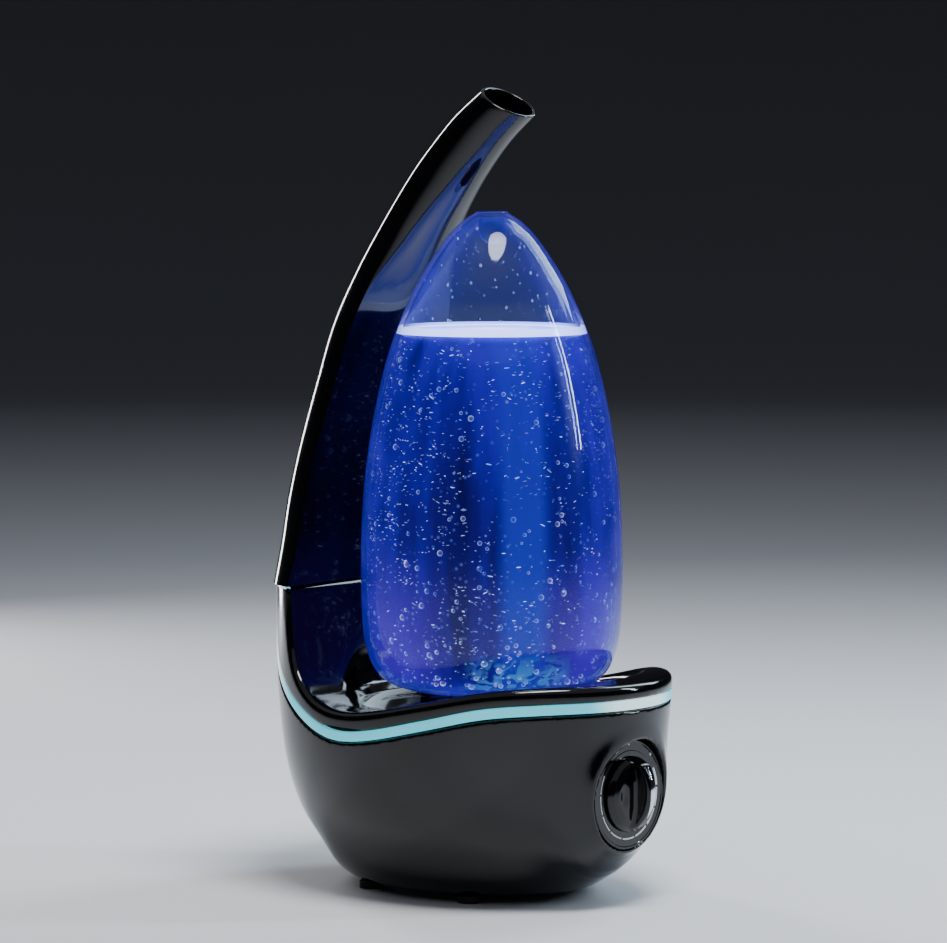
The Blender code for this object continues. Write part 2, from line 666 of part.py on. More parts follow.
def fan():
    black = dark_plastic()
    middle_z = (FAN_LOW + FAN_TOP) / 2
    stay = 2.4
    frame = box("fan_frame", (FAN_SIZE, FAN_SIZE, FAN_TOP - FAN_LOW), (0, BASE_Y, middle_z), black)
    frame = bevel(frame, 3.0)
    frame = cut(frame, cylinder("throat", FAN_THROAT_R, FAN_LOW - 1, FAN_TOP + 1, (0, BASE_Y), sides=36))
    frame = join(frame, cylinder("motor_seat", HUB_R - 0.5, FAN_LOW, FAN_LOW + 2.2, (0, BASE_Y), sides=20))
    frame = join(frame, box("stay_x", (FAN_SIZE - 2, stay, 1.8), (0, BASE_Y, FAN_LOW + 1.1)))
    smooth(join(frame, box("stay_y", (stay, FAN_SIZE - 2, 1.8), (0, BASE_Y, FAN_LOW + 1.1))))
    fan_rotor(middle_z + 1, black)
    hood = [(12.0, 40.0), (24.0, 33.0), (24.5, FAN_TOP + GAP)]
    smooth(thicken(turned("fan_hood", hood, (0, BASE_Y), sides=24, mat=black), 1.6))
    air_pipe(black)


def fan_rotor(blade_z, mat):
    rotor = cylinder("fan_rotor", HUB_R, FAN_LOW + 2.6, FAN_TOP - 0.6, (0, BASE_Y), sides=24, mat=mat)
    middle = Matrix.Translation((0, 0, blade_z * MM))
    pitch = middle @ Matrix.Rotation(math.radians(BLADE_PITCH), 4, "X") @ middle.inverted()
    for i in range(BLADES):
        blade = box("blade", (14.0, 1.4, 9.0), (15.2, 0, blade_z))
        turn = Matrix.Translation((0, BASE_Y * MM, 0)) @ Matrix.Rotation(2 * math.pi * i / BLADES, 4, "Z")
        blade.data.transform(turn @ pitch)
        rotor = join(rotor, blade)
    smooth(rotor)


def air_pipe(mat):
    """The pipe from the fan hood, round the trough, to the riser."""
    line = smooth_line(PIPE_ROUTE)
    curve = bpy.data.curves.new("air_pipe", "CURVE")
    curve.dimensions = "3D"
    curve.bevel_depth = PIPE_R * MM
    curve.bevel_resolution = 2
    spline = curve.splines.new("POLY")
    spline.points.add(len(line) - 1)
    for point, place in zip(spline.points, line):
        point.co = (*(Vector(place) * MM), 1.0)
    ob = add("air_pipe", curve)
    curve.materials.append(mat)
    smooth(thicken(settle(ob), PIPE_WALL))


def electronics():
    green = material("circuit_board", (0.02, 0.20, 0.08), 0.5)
    box("driver_board", BOARD_SIZE, (0, BOARD_Y, BOARD_Z), green)
    box("led_board", (26, 16, BOARD_THICK), (0, LED_Y - 2, 86.0), green)
    lens = material("clear_lens", (0.6, 0.8, 1.0), 0.05, alpha=0.4)
    smooth(cylinder("led_lens", LED_R, 88.5, DECK_TOP + 1.4, (0, LED_Y), sides=24, mat=lens))
    top = BOARD_Z + BOARD_THICK / 2 + GAP
    heat_sink(top)
    ferrite = material("ferrite", (0.05, 0.05, 0.05), 0.6)
    smooth(cylinder("inductor", 7.0, top, BOARD_Z + 13, (16, BOARD_Y), sides=20, mat=ferrite))
    brass = material("standoff_brass", (0.6, 0.5, 0.25), 0.35, 1.0)
    under = BOARD_Z - BOARD_THICK / 2 - GAP
    for i, (sx, sy) in enumerate([(-1, -1), (1, -1), (-1, 1), (1, 1)], 1):
        place = (sx * 25.5, BOARD_Y + sy * 12.0)
        cylinder(f"standoff_{i}", 2.6, CHASSIS_TOP + GAP, under, place, sides=6, mat=brass)
    power_inlet()


def heat_sink(low):
    metal = material("aluminium_sink", (0.7, 0.7, 0.72), 0.35, 1.0)
    width, depth, thick = SINK_SIZE
    sink = box("heat_sink", SINK_SIZE, (SINK_X, BOARD_Y, low + thick / 2), metal)
    fin_width = 1.6
    for k in range(FINS):
        x = SINK_X + (k / (FINS - 1) - 0.5) * (width - fin_width - 1.4)
        fin = box("fin", (fin_width, depth, FIN_HEIGHT), (x, BOARD_Y, low + thick / 2 + FIN_HEIGHT / 2))
        sink = join(sink, fin)


def power_inlet():
    at = (0, INLET_Z)
    inlet = cylinder("power_inlet", INLET_R, 76, 91.6, at, "Y", 20, dark_plastic())
    inlet = cut(inlet, cylinder("socket", 3.4, 80, 100, at, "Y", 16))
    smooth(join(inlet, cylinder("inlet_pin", 1.0, 78, 90, at, "Y", 10)))


# ---------------------------------------------------------------- origins on the joints

# Pieces that move together, and a point (mm) on their joint's axis, before the shift.
PIVOTS = [
    (("control_knob", "knob_shaft", "knob_trim"), (0, -100.0, KNOB_Z)),
    (("fan_rotor",), (0, BASE_Y, 18.5)),
    (("mist_arm", "arm_spigot"), (0, RIDGE_Y, SEAM_Z)),
    (("tank_shell", "tank_crown"), (0, TANK_Y, NECK_END)),
    (("tank_cap", "cap_seal", "valve_spring", "valve_plunger", "valve_disc"), (0, TANK_Y, NECK_END)),
    (("float_ring",), (*FLOAT_AT, 71.0)),
]


def centre_on_origin():
    for ob in PARTS.objects:
        ob.data.transform(Matrix.Translation((0, SHIFT_Y * MM, 0)))


def set_pivots():
    """Moving pieces have their own origins on their joints' axes."""
    for names, point in PIVOTS:
        place = (Vector(point) + Vector((0, SHIFT_Y, 0))) * MM
        for name in names:
            ob = PARTS.objects[name]
            ob.data.transform(Matrix.Translation(-place))
            ob.location = place


def main():
    lower_housing()
    light_strip()
    rim_cover()
    base_plates()
    plate_screws()
    feet()
    dial_and_knob()
    mist_arm()
    tank()
    cap_and_valve()
    trough()
    fan()
    electronics()
    centre_on_origin()
    set_pivots()


main()
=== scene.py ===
"""Looks of a cool mist humidifier: a clear tank of lit water on a gloss black base, under a curved mist arm."""

import json
import math
import random
from functools import cache

import bpy
import numpy as np
from mathutils import Matrix, Vector


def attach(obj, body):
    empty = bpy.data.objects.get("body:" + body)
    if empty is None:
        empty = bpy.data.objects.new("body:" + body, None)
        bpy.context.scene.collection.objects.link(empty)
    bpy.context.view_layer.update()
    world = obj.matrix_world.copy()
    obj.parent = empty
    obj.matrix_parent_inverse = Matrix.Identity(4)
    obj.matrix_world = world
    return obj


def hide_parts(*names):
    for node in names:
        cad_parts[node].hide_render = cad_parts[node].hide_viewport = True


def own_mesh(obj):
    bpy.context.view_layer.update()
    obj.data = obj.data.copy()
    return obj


bl_info = {
    "name": "Cool mist humidifier",
    "version": (1, 0, 0),
    "blender": (4, 5, 0),
    "location": "3D View > Sidebar > Humidifier",
    "description": "Builds the finished surfaces, water and lights of a cool mist humidifier",
    "category": "Object",
}

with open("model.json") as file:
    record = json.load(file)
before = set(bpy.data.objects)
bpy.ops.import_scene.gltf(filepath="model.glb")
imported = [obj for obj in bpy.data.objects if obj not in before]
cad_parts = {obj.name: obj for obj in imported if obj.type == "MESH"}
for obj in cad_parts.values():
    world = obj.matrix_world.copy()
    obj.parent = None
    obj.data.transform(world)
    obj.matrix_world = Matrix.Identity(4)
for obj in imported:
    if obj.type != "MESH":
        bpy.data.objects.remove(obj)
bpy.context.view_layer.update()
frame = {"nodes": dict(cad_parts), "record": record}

MM = 0.001
# Seam between moulded pieces, and their wall.
GAP = 0.3
WALL = 2.6

# ---------------------------------------------------------------- shape of the moulded body, mm

BASE_Y = 3.4
HALF_WIDTH = 88.0
HALF_LENGTH = 113.0
TANK_Y = -9.6
SEAM_Z = 158.0
DECK_UNDER = 92.5
DIAL_AXIS_Z = 58.0
DIAL_FRONT_Y = -100.6
# Side views reach this far from the axis, past the body.
FAR = 150

# Body radius as a share of the plan oval, at each height.
BODY_SHAPE = [
    (1.0, 165), (1.0, 138), (1.0, 112), (0.99, 96), (0.972, 77), (0.948, 62),
    (0.91, 48), (0.86, 36), (0.785, 24), (0.71, 12), (0.645, 6), (0.58, 4.3), (0.45, 4.0),
]
# Side view (y, z) of the light strip's middle, front to back.
STRIP_LINE = [
    (-124.6, 105.2), (-108.6, 105.2), (-85.6, 104.7), (-61.6, 102.3), (-32.6, 95.4), (-2.6, 88.6),
    (19.4, 85.8), (35.4, 87.2), (52.4, 92.8), (69.4, 101.5), (83.4, 112), (90.9, 122), (94.9, 134),
    (96.6, 146), (96.9, 157), (96.9, 175),
]
STRIP_HALF = 2.5
STRIP_END_Y = 96.9
SEAM_LINE_HALF = 0.55
# Side view (y, z) of the rim's crest, front to back.
CREST_LINE = [
    (-124.6, 115.6), (-108.6, 115.6), (-85.6, 115.8), (-61.6, 113.6), (-32.6, 107.2), (-2.6, 100.8),
    (17.4, 98.4), (32.4, 99.4), (45.4, 103.5), (56.4, 111.5), (63.4, 122), (67.4, 136), (68.9, 150),
    (68.9, 176),
]
# Bowl that the tank stands in: radius and height about the tank's axis.
BOWL = [(-200, 190), (77.5, 190), (77.5, 118), (76.5, 109), (73, 102.5), (67, 98.6), (60, 97), (-200, 97)]
# Middle radius of the dial's printed scale and of its marks.
SCALE_R = 23.0
MARK_R = 25.6
# Flared collar round the dial: radius and distance forward.
COLLAR = [
    (-99, 99.9), (29.9, 99.9), (30.6, 98.8), (33.0, 95.1), (37.0, 90.8), (40.5, 87.2), (43.0, 83.0),
    (44.0, 78.0), (44.0, 70.0), (-99, 70.0),
]
# Radii of the holes in the housing: the bottom, the power inlet, the knob's shaft and the dial's seat.
BOTTOM_R = 50.9
INLET_R, INLET_Z = 6.3, 20
SHAFT_R = 3.8
SEAT_R = 28.6
# The mist's riser behind the tank: half width, depth, where it starts and how square its corners are.
RISER_HALF, RISER_DEPTH, RISER_Y, RISER_POWER = 58, 33, 73.9, 1.7
# The bowl's drain round the valve pin, and the float's well before it.
DRAIN_R = 12.0
WELL_R, WELL_Y = 9.3, -52.6

# Mist arm: y, z, half width, depth behind, depth in front, tilt in degrees, roundness of the back.
ARM_STATIONS = [
    (68.4, 158.2, 72.0, 47.8, -3.0, 0, 1.64), (65.9, 180, 67.0, 47.2, -3.0, 0, 1.70),
    (64.4, 203, 63.0, 44.5, -3.0, 0, 1.76), (62.8, 231, 55.0, 39.7, -2.5, 2, 1.86),
    (58.4, 263, 46.5, 35.2, -1.0, 5, 1.95), (53.6, 291, 39.5, 31.8, 2.0, 8, 2.0),
    (44.8, 317, 32.8, 28.0, 6.5, 13, 2.0), (35.4, 345, 24.8, 20.2, 13.0, 17, 2.0),
    (20.6, 369, 20.2, 17.9, 16.0, 21, 2.0), (6.4, 386, 17.8, 16.8, 16.5, 24, 2.0),
    (-5.8, 398, 16.5, 16.2, 16.4, 27, 2.0), (-20.6, 409.1, 15.5, 15.5, 15.5, 30, 2.0),
]
ARM_WALL = 2.2
ARM_POINTS = 96

# Tank outline (radius, z), from the crown down to the neck.
TANK_OUTLINE = [
    (9, 352), (15.7, 347.4), (24.6, 338), (37.8, 317.5), (48.4, 294.5), (56.3, 270), (62.8, 239),
    (66.9, 205), (68.2, 168), (67.2, 137), (64.8, 124), (61, 115.4), (54.5, 109), (45, 105.6),
]
TANK_WALL = 2.4
# Side view of the knob's grip: middle (y, z above the dial's axis) and radius of its front edge, and its half width.
GRIP_ARC = (-92.2, 2.0, 24.0)
GRIP_HALF = 2.9
KNOB_BACK_Y = -101.0
NECK_R = 24.0
NECK_WALL = 2.2
NECK_END = 100.6
# The valve's spring: its two ends, wire and coil radius, and turns.
SPRING_LOW, SPRING_HIGH = 100.9, 111.7
SPRING_WIRE, SPRING_R, SPRING_TURNS = 0.35, 3.6, 4.5

# Lowest bubbles in the water, and highest droplets on the dry wall.
BUBBLES_LOW = 112
DROPLETS_HIGH = 344

# Directions in plan that the lit water's painted shaft of light and painted violet light lie along.
BEAM_ANGLE = math.radians(-35)
SIDE_ANGLE = math.radians(40)


# ---------------------------------------------------------------- colours, nodes and materials

def colour(code):
    """An sRGB hex colour as linear values."""
    parts = [int(code[i:i + 2], 16) / 255 for i in (1, 3, 5)]
    return (*[c / 12.92 if c <= 0.04045 else ((c + 0.055) / 1.055) ** 2.4 for c in parts], 1.0)


def grey(value):
    return (value, value, value, 1.0)


def node(tree, kind, values=None, links=None, stops=(), **settings):
    """Add a node with its settings, the values of its inputs, the outputs linked to them and its colour stops.

    A link may name a node, which stands for its first output. A stop's colour may be a plain share of white.
    """
    made = tree.nodes.new("ShaderNode" + kind)
    for name, value in settings.items():
        setattr(made, name, value)
    for name, value in (values or {}).items():
        made.inputs[name].default_value = value
    for name, source in (links or {}).items():
        tree.links.new(made.inputs[name], source.outputs[0] if isinstance(source, bpy.types.Node) else source)
    if stops:
        elements = made.color_ramp.elements
        while len(elements) < len(stops):
            elements.new(1.0)
        for element, (position, value) in zip(elements, stops):
            element.position = position
            element.color = value if isinstance(value, tuple) else grey(value)
    return made


def new_material(name):
    """An empty material and its Object coordinates."""
    mat = bpy.data.materials.new(name)
    mat.use_nodes = True
    tree = mat.node_tree
    tree.nodes.clear()
    return mat, tree, node(tree, "TexCoord").outputs["Object"]


def moulded(name, code, roughness, grain_mm, bump, spread=0.06, metallic=0.0, coat=0.0):
    """A moulded, pressed or plated finish: a grain of a real size moves its colour, roughness and bump."""
    mat, tree, where = new_material(name)
    base = colour(code)
    darker = tuple(c * 0.82 for c in base[:3]) + (1.0,)
    lighter = tuple(min(c * 1.12, 1) for c in base[:3]) + (1.0,)
    fine = node(tree, "TexNoise", {"Scale": 1 / (grain_mm * MM), "Detail": 3.0}, {"Vector": where})
    broad = node(tree, "TexNoise", {"Scale": 22.0, "Detail": 4.0}, {"Vector": where})
    tint = node(tree, "ValToRGB", links={0: broad}, stops=[(0.35, darker), (0.65, lighter)])
    stops = [(0.3, max(roughness - spread, 0.02)), (0.7, roughness + spread)]
    wear = node(tree, "ValToRGB", links={0: broad}, stops=stops)
    relief = node(tree, "Bump", {"Strength": bump, "Distance": 0.0002}, {"Height": fine})
    shader = node(
        tree, "BsdfPrincipled", {"Metallic": metallic, "Coat Weight": coat, "Coat Roughness": 0.05},
        {"Base Color": tint, "Roughness": wear, "Normal": relief})
    node(tree, "OutputMaterial", links={0: shader})
    return mat


@cache
def gloss_black_abs():
    """High gloss injection moulded ABS: near black, mirror sharp, with a faint orange peel and fine wiping marks."""
    mat, tree, where = new_material("gloss_black_abs")
    # Orange peel of moulded gloss is about 3 mm across and a few microns deep.
    peel = node(tree, "TexNoise", {"Scale": 330.0, "Detail": 1.0}, {"Vector": where})
    broad = node(tree, "TexNoise", {"Scale": 14.0, "Detail": 5.0}, {"Vector": where})
    # Wiping marks are hairlines; they are drawn a few tenths of a millimetre wide so that they show.
    long_way = node(tree, "Mapping", {"Scale": (1.0, 1.0, 0.06)}, {"Vector": where})
    hairs = node(tree, "TexNoise", {"Scale": 1500.0, "Detail": 2.0}, {"Vector": long_way})
    both = node(tree, "Mix", {0: 0.25}, {2: broad, 3: hairs})
    rough = node(tree, "ValToRGB", links={0: both}, stops=[(0.35, 0.05), (0.7, 0.13)])
    relief = node(tree, "Bump", {"Strength": 0.035, "Distance": 0.0003}, {"Height": peel})
    shader = node(
        tree, "BsdfPrincipled", {"Base Color": colour("#050507"), "IOR": 1.5}, {"Roughness": rough, "Normal": relief})
    node(tree, "OutputMaterial", links={0: shader})
    return mat


def lit_diffuser(middle, end, strength):
    """Opal acrylic lit from behind: pale cyan along the sides, running to white at the nose and on the climb."""
    mat, tree, where = new_material("opal_diffuser")
    axes = node(tree, "SeparateXYZ", links={0: where})
    along = node(tree, "MapRange", {1: -0.11, 2: 0.1}, {0: axes.outputs["Y"]})
    stops = [(0.0, end), (0.008, end), (0.045, middle), (0.82, middle), (0.97, end)]
    tint = node(tree, "ValToRGB", links={0: along}, stops=stops)
    tint.color_ramp.interpolation = "EASE"
    # The lamps behind the diffuser stand about 30 mm apart and leave faint pools of light.
    pools = node(tree, "TexNoise", {"Scale": 34.0, "Detail": 1.0}, {"Vector": where})
    light = node(tree, "MapRange", {1: 0.3, 2: 0.7, 3: 0.9, 4: 1.1}, {0: pools})
    pooled = node(tree, "VectorMath", links={0: tint, "Scale": light}, operation="SCALE")
    shader = node(
        tree, "BsdfPrincipled", {"Roughness": 0.3, "Base Color": middle, "Emission Strength": strength},
        {"Emission Color": pooled})
    node(tree, "OutputMaterial", links={0: shader})
    return mat


def grazing(tree, power, low, high, normal=None):
    """A share that rises from low, face on, to high, seen edge on."""
    facing = node(tree, "LayerWeight", {"Blend": 0.5}, {"Normal": normal} if normal else None)
    steep = node(tree, "Math", {1: power}, {0: facing.outputs["Facing"]}, operation="POWER")
    return node(tree, "MapRange", {3: low, 4: high}, {0: steep})


def clear_blue_tank():
    """Clear blue blow moulded plastic: mirror gloss, see-through, with a painted blue glow where it is seen edge on.
    """
    mat, tree, where = new_material("clear_blue_tank")
    clear = node(tree, "BsdfTransparent", {0: colour("#E3E9FF")})
    # The mould leaves shallow waves about 20 mm long in the wall; they also vary the blue of the painted edge glow.
    waves = node(tree, "TexNoise", {"Scale": 50.0, "Detail": 1.0}, {"Vector": where})
    tint = node(tree, "ValToRGB", links={0: waves}, stops=[(0.35, colour("#2E1EC8")), (0.65, colour("#4A38FF"))])
    # Painted light: an emission makes the wall glow blue where it is seen edge on.
    edge = node(tree, "Emission", {"Strength": 0.7}, {"Color": tint})
    see = node(tree, "MixShader", links={0: grazing(tree, 2.4, 0.0, 0.9), 1: clear, 2: edge})
    relief = node(tree, "Bump", {"Strength": 0.03, "Distance": 0.001}, {"Height": waves})
    gloss = node(tree, "BsdfGlossy", {"Roughness": 0.03, "Color": colour("#F2F6FF")}, {"Normal": relief})
    both = node(tree, "MixShader", links={0: grazing(tree, 5.0, 0.018, 0.9, relief), 1: see, 2: gloss})
    node(tree, "OutputMaterial", links={0: both})
    return mat


def off_middle(tree, axes, angle):
    """How far a point lies from the tank's axis along a direction in plan, clockwise from the front."""
    across = node(tree, "Math", {1: math.sin(angle)}, {0: axes.outputs["X"]}, operation="MULTIPLY")
    ahead = node(tree, "Math", {1: -math.cos(angle)}, {0: axes.outputs["Y"]}, operation="MULTIPLY")
    total = node(tree, "Math", links={0: across, 1: ahead}, operation="ADD")
    return node(tree, "Math", links={0: total}, operation="ABSOLUTE")


def lit_water(settings):
    """Water with the lamp's light from below painted in as a blue glow: deep at the sides, a painted pale shaft over
    the lamp, painted violet light at the foot, and painted specks of light.
    """
    mat, tree, where = new_material("lit_blue_water")
    local = node(tree, "Mapping", {"Location": (0, -TANK_Y * MM, 0)}, {"Vector": where})
    axes = node(tree, "SeparateXYZ", links={0: local})
    height = node(tree, "MapRange", {1: 0.105, 2: 0.293}, {0: axes.outputs["Z"]})
    # The whole glow is painted light from the lamp below: brighter and more violet at the foot, deepest half way up,
    # a little lighter at the top.
    body = node(tree, "ValToRGB", links={0: height}, stops=[
        (0.0, colour("#4A18C8")), (0.18, colour("#380E94")), (0.5, (*settings.deep_glow_colour, 1.0)),
        (0.85, colour("#3412A4")), (1.0, colour("#4430D4")),
    ]).outputs[0]
    # Painted shade and painted streaks of light run up the tank in tall, soft columns.
    tall = node(tree, "Mapping", {"Scale": (1.0, 1.0, 0.12)}, {"Vector": where})
    light_and_shade_columns = node(tree, "TexNoise", {"Scale": 46.0, "Detail": 3.0}, {"Vector": tall})
    shade = node(tree, "ValToRGB", links={0: light_and_shade_columns}, stops=[(0.3, 0.85), (0.52, 0.0)])
    light_streaks = node(tree, "ValToRGB", links={0: light_and_shade_columns}, stops=[(0.5, 0.0), (0.75, 1.0)])
    # The lamp's shaft of light fades as it climbs.
    beam = off_middle(tree, axes, BEAM_ANGLE + math.pi / 2)
    core = node(tree, "MapRange", {1: 0.007, 2: 0.017, 3: 1.0, 4: 0.0}, {0: beam}, interpolation_type="SMOOTHSTEP")
    fade = node(tree, "ValToRGB", links={0: height}, stops=[(0.0, 0.9), (0.5, 0.7), (0.95, 0.45)])
    shaft = node(tree, "Math", links={0: core, 1: fade}, operation="MULTIPLY")
    # Painted violet light gathers low down at the two sides.
    flank = node(tree, "MapRange", {1: 0.02, 2: 0.06}, {0: off_middle(tree, axes, SIDE_ANGLE)})
    low = node(tree, "ValToRGB", links={0: height}, stops=[(0.0, 1.0), (0.12, 0.85), (0.42, 0.0)])
    violet = node(tree, "Math", links={0: flank, 1: low}, operation="MULTIPLY")
    # The lamp's pool of light on the tank's floor, broken up by the ripples above it.
    ripple = node(tree, "TexNoise", {"Scale": 130.0, "Detail": 2.0, "Distortion": 1.2}, {"Vector": where})
    broken = node(tree, "ValToRGB", links={0: ripple}, stops=[(0.42, 0.0), (0.55, 1.0)])
    foot = node(tree, "ValToRGB", links={0: height}, stops=[(0.0, 1.0), (0.07, 0.9), (0.13, 0.0)])
    near = node(tree, "MapRange", {1: 0.016, 2: 0.03, 3: 1.0, 4: 0.0}, {0: beam})
    patch = node(tree, "Math", links={0: foot, 1: broken}, operation="MULTIPLY")
    pool = node(tree, "Math", links={0: patch, 1: near}, operation="MULTIPLY")
    # Bubbles too deep to see sharply are painted as soft specks of light about 1 mm across.
    cells = node(tree, "TexVoronoi", {"Scale": 260.0}, {"Vector": where})
    dots = node(tree, "ValToRGB", links={0: cells.outputs["Distance"]}, stops=[(0.0, 1.0), (0.16, 0.5), (0.3, 0.0)])
    thin = node(tree, "TexNoise", {"Scale": 60.0, "Detail": 1.0}, {"Vector": where})
    few = node(tree, "ValToRGB", links={0: thin}, stops=[(0.5, 0.0), (0.66, 0.75)])
    specks = node(tree, "Math", links={0: dots, 1: few}, operation="MULTIPLY")
    # Each layer lays painted light or shade over the glow: shade, streaks of light, the shaft, violet light, the pool
    # and specks of light.
    layers = (
        (shade, "#180640"), (light_streaks, "#3E22C4"), (shaft, "#3A4CD8"), (violet, "#7A14E0"), (pool, "#62C8FF"),
        (specks, "#7FA2FF"),
    )
    for share, code in layers:
        body = node(tree, "Mix", {7: colour(code)}, {0: share, 6: body}, data_type="RGBA").outputs[2]
    dim = node(tree, "Mix", {0: 0.5, 7: colour("#000010")}, {6: body}, data_type="RGBA").outputs[2]
    shader = node(
        tree, "BsdfPrincipled", {"Roughness": 0.25, "IOR": 1.33, "Emission Strength": settings.glow},
        {"Base Color": dim, "Emission Color": body})
    node(tree, "OutputMaterial", links={0: shader})
    return mat


def bright_surface():
    """The water's surface with its light from underneath painted in as a glow: white violet in the middle, bluer and
    rippled towards the wall.
    """
    mat, tree, where = new_material("lit_water_surface")
    local = node(tree, "Mapping", {"Location": (0, -TANK_Y * MM, 0)}, {"Vector": where})
    flat = node(tree, "VectorMath", {1: (1, 1, 0)}, {0: local}, operation="MULTIPLY")
    radius = node(tree, "VectorMath", links={0: flat}, operation="LENGTH")
    share = node(tree, "MapRange", {1: 0.0, 2: 0.047}, {0: radius.outputs["Value"]})
    ripples = node(tree, "TexNoise", {"Scale": 90.0, "Detail": 3.0, "Distortion": 0.8}, {"Vector": where})
    uneven = node(tree, "Math", {1: 0.35}, {0: ripples}, operation="MULTIPLY")
    total = node(tree, "Math", links={0: share, 1: uneven}, operation="ADD")
    tint = node(tree, "ValToRGB", links={0: total}, stops=[
        (0.15, colour("#FFFFFF")), (0.55, colour("#C9CCFF")), (0.85, colour("#8C97FA")), (1.1, colour("#C7D4FF")),
    ])
    relief = node(tree, "Bump", {"Strength": 0.2, "Distance": 0.001}, {"Height": ripples})
    shader = node(
        tree, "BsdfPrincipled",
        {"Roughness": 0.05, "IOR": 1.33, "Base Color": colour("#6070F0"), "Emission Strength": 3.2},
        {"Emission Color": tint, "Normal": relief})
    node(tree, "OutputMaterial", links={0: shader})
    return mat


def bubble_film(name, glow, power, centre):
    """Air in water, or water on plastic: clear in the middle with a painted bright ring of light round it."""
    mat, tree, where = new_material(name)
    clear = node(tree, "BsdfTransparent", {0: colour("#DDE6FF")})
    speckle = node(tree, "TexNoise", {"Scale": 60.0}, {"Vector": where})
    tint = node(tree, "ValToRGB", links={0: speckle}, stops=[(0.35, colour("#7C9BFF")), (0.62, colour("#E6F0FF"))])
    # The ring is painted light, an emission that grows towards the edge.
    light = node(tree, "Emission", {"Strength": glow}, {"Color": tint})
    both = node(tree, "MixShader", links={0: grazing(tree, power, centre, 1.0), 1: clear, 2: light})
    node(tree, "OutputMaterial", links={0: both})
    return mat


FINISHES = {
    # Name: colour, roughness, grain in mm, bump. Each is what the CAD model's own pieces are made of.
    "fine_textured_abs": ("#17181A", 0.5, 0.35, 0.25),
    "grey_moulded_abs": ("#6E7074", 0.45, 0.5, 0.15),
    "black_nitrile_rubber": ("#101010", 0.75, 0.3, 0.4),
    "zinc_plated_steel": ("#A9ABB0", 0.3, 0.3, 0.1),
    "turned_brass": ("#C79B4B", 0.28, 0.3, 0.08),
    "white_polypropylene": ("#DADDE0", 0.4, 0.6, 0.12),
    "clear_silicone": ("#C9CCCF", 0.45, 0.8, 0.1),
    "green_solder_mask": ("#0E5A2C", 0.35, 0.6, 0.1),
    "extruded_aluminium": ("#B8BABF", 0.35, 0.25, 0.15),
    "polished_chrome": ("#DDE3EE", 0.06, 0.6, 0.01),
    "closed_cell_foam": ("#DAD8CE", 0.85, 0.5, 0.6),
    "clear_lens_acrylic": ("#8FB6FF", 0.1, 0.8, 0.02),
}
METALS = ("zinc_plated_steel", "turned_brass", "extruded_aluminium", "polished_chrome")
SLOT_FINISH = {
    "dark_plastic": "fine_textured_abs", "grey_plastic": "grey_moulded_abs", "black_rubber": "black_nitrile_rubber",
    "zinc_steel": "zinc_plated_steel", "brass": "turned_brass", "white_plastic": "white_polypropylene",
    "silicone": "clear_silicone", "circuit_board": "green_solder_mask", "aluminium": "extruded_aluminium",
    "chrome_trim": "polished_chrome", "float_foam": "closed_cell_foam", "clear_lens": "clear_lens_acrylic",
}


@cache
def finish_of(name):
    """One of the finishes above, made once."""
    code, roughness, grain, bump = FINISHES[name]
    return moulded(name, code, roughness, grain, bump, spread=0.04, metallic=1.0 if name in METALS else 0.0)


# ---------------------------------------------------------------- smooth lines and solid fields

def smooth_line(points, steps=8):
    """A Catmull-Rom curve through points of any size."""
    pts = np.array(points, float)
    pts = np.vstack([2 * pts[0] - pts[1], pts, 2 * pts[-1] - pts[-2]])
    out = []
    for a, b, c, d in zip(pts, pts[1:], pts[2:], pts[3:]):
        for k in range(steps):
            t = k / steps
            square, cube = 2 * a - 5 * b + 4 * c - d, 3 * b - a - 3 * c + d
            out.append(0.5 * (2 * b + (c - a) * t + square * t**2 + cube * t**3))
    return np.array(out + [pts[-2]])


def offset_line(line, distance):
    """A line in a plane moved sideways, to its left for a positive distance."""
    along = np.gradient(line, axis=0)
    along /= np.linalg.norm(along, axis=1)[:, None]
    return line + np.stack([-along[:, 1], along[:, 0]], 1) * distance


def region(polygon, low, high, step=0.5):
    """A field over a plane: how far a point is from the polygon's edge, negative inside it."""
    axes = [np.arange(a, b + step, step) for a, b in zip(low, high)]
    u, v = np.meshgrid(*axes, indexing="ij")
    nearest = np.full(u.shape, 1e9)
    inside = np.zeros(u.shape, bool)
    points = np.array(polygon, float)
    for (au, av), (bu, bv) in zip(points, np.roll(points, -1, axis=0)):
        du, dv = bu - au, bv - av
        length = du * du + dv * dv
        if length < 1e-12:
            continue
        t = np.clip(((u - au) * du + (v - av) * dv) / length, 0, 1)
        nearest = np.minimum(nearest, np.hypot(u - au - t * du, v - av - t * dv))
        if av != bv:
            inside ^= ((av > v) != (bv > v)) & (u < (bu - au) * (v - av) / (bv - av) + au)
    table = np.where(inside, -nearest, nearest)

    def field(pu, pv):
        iu = np.clip((pu - low[0]) / step, 0, table.shape[0] - 1.001)
        iv = np.clip((pv - low[1]) / step, 0, table.shape[1] - 1.001)
        ju, jv = iu.astype(int), iv.astype(int)
        fu, fv = iu - ju, iv - jv
        low_side = table[ju, jv] * (1 - fv) + table[ju, jv + 1] * fv
        high_side = table[ju + 1, jv] * (1 - fv) + table[ju + 1, jv + 1] * fv
        return low_side * (1 - fu) + high_side * fu

    return field


def rounded_max(a, b, size):
    """Where two solids meet in common, with the edge between them rounded."""
    share = np.maximum(size - np.abs(a - b), 0) / size
    return np.maximum(a, b) + share * share * size * 0.25


def rounded_min(a, b, size):
    """Two solids joined, with a fillet where they meet."""
    return -rounded_max(-a, -b, size)


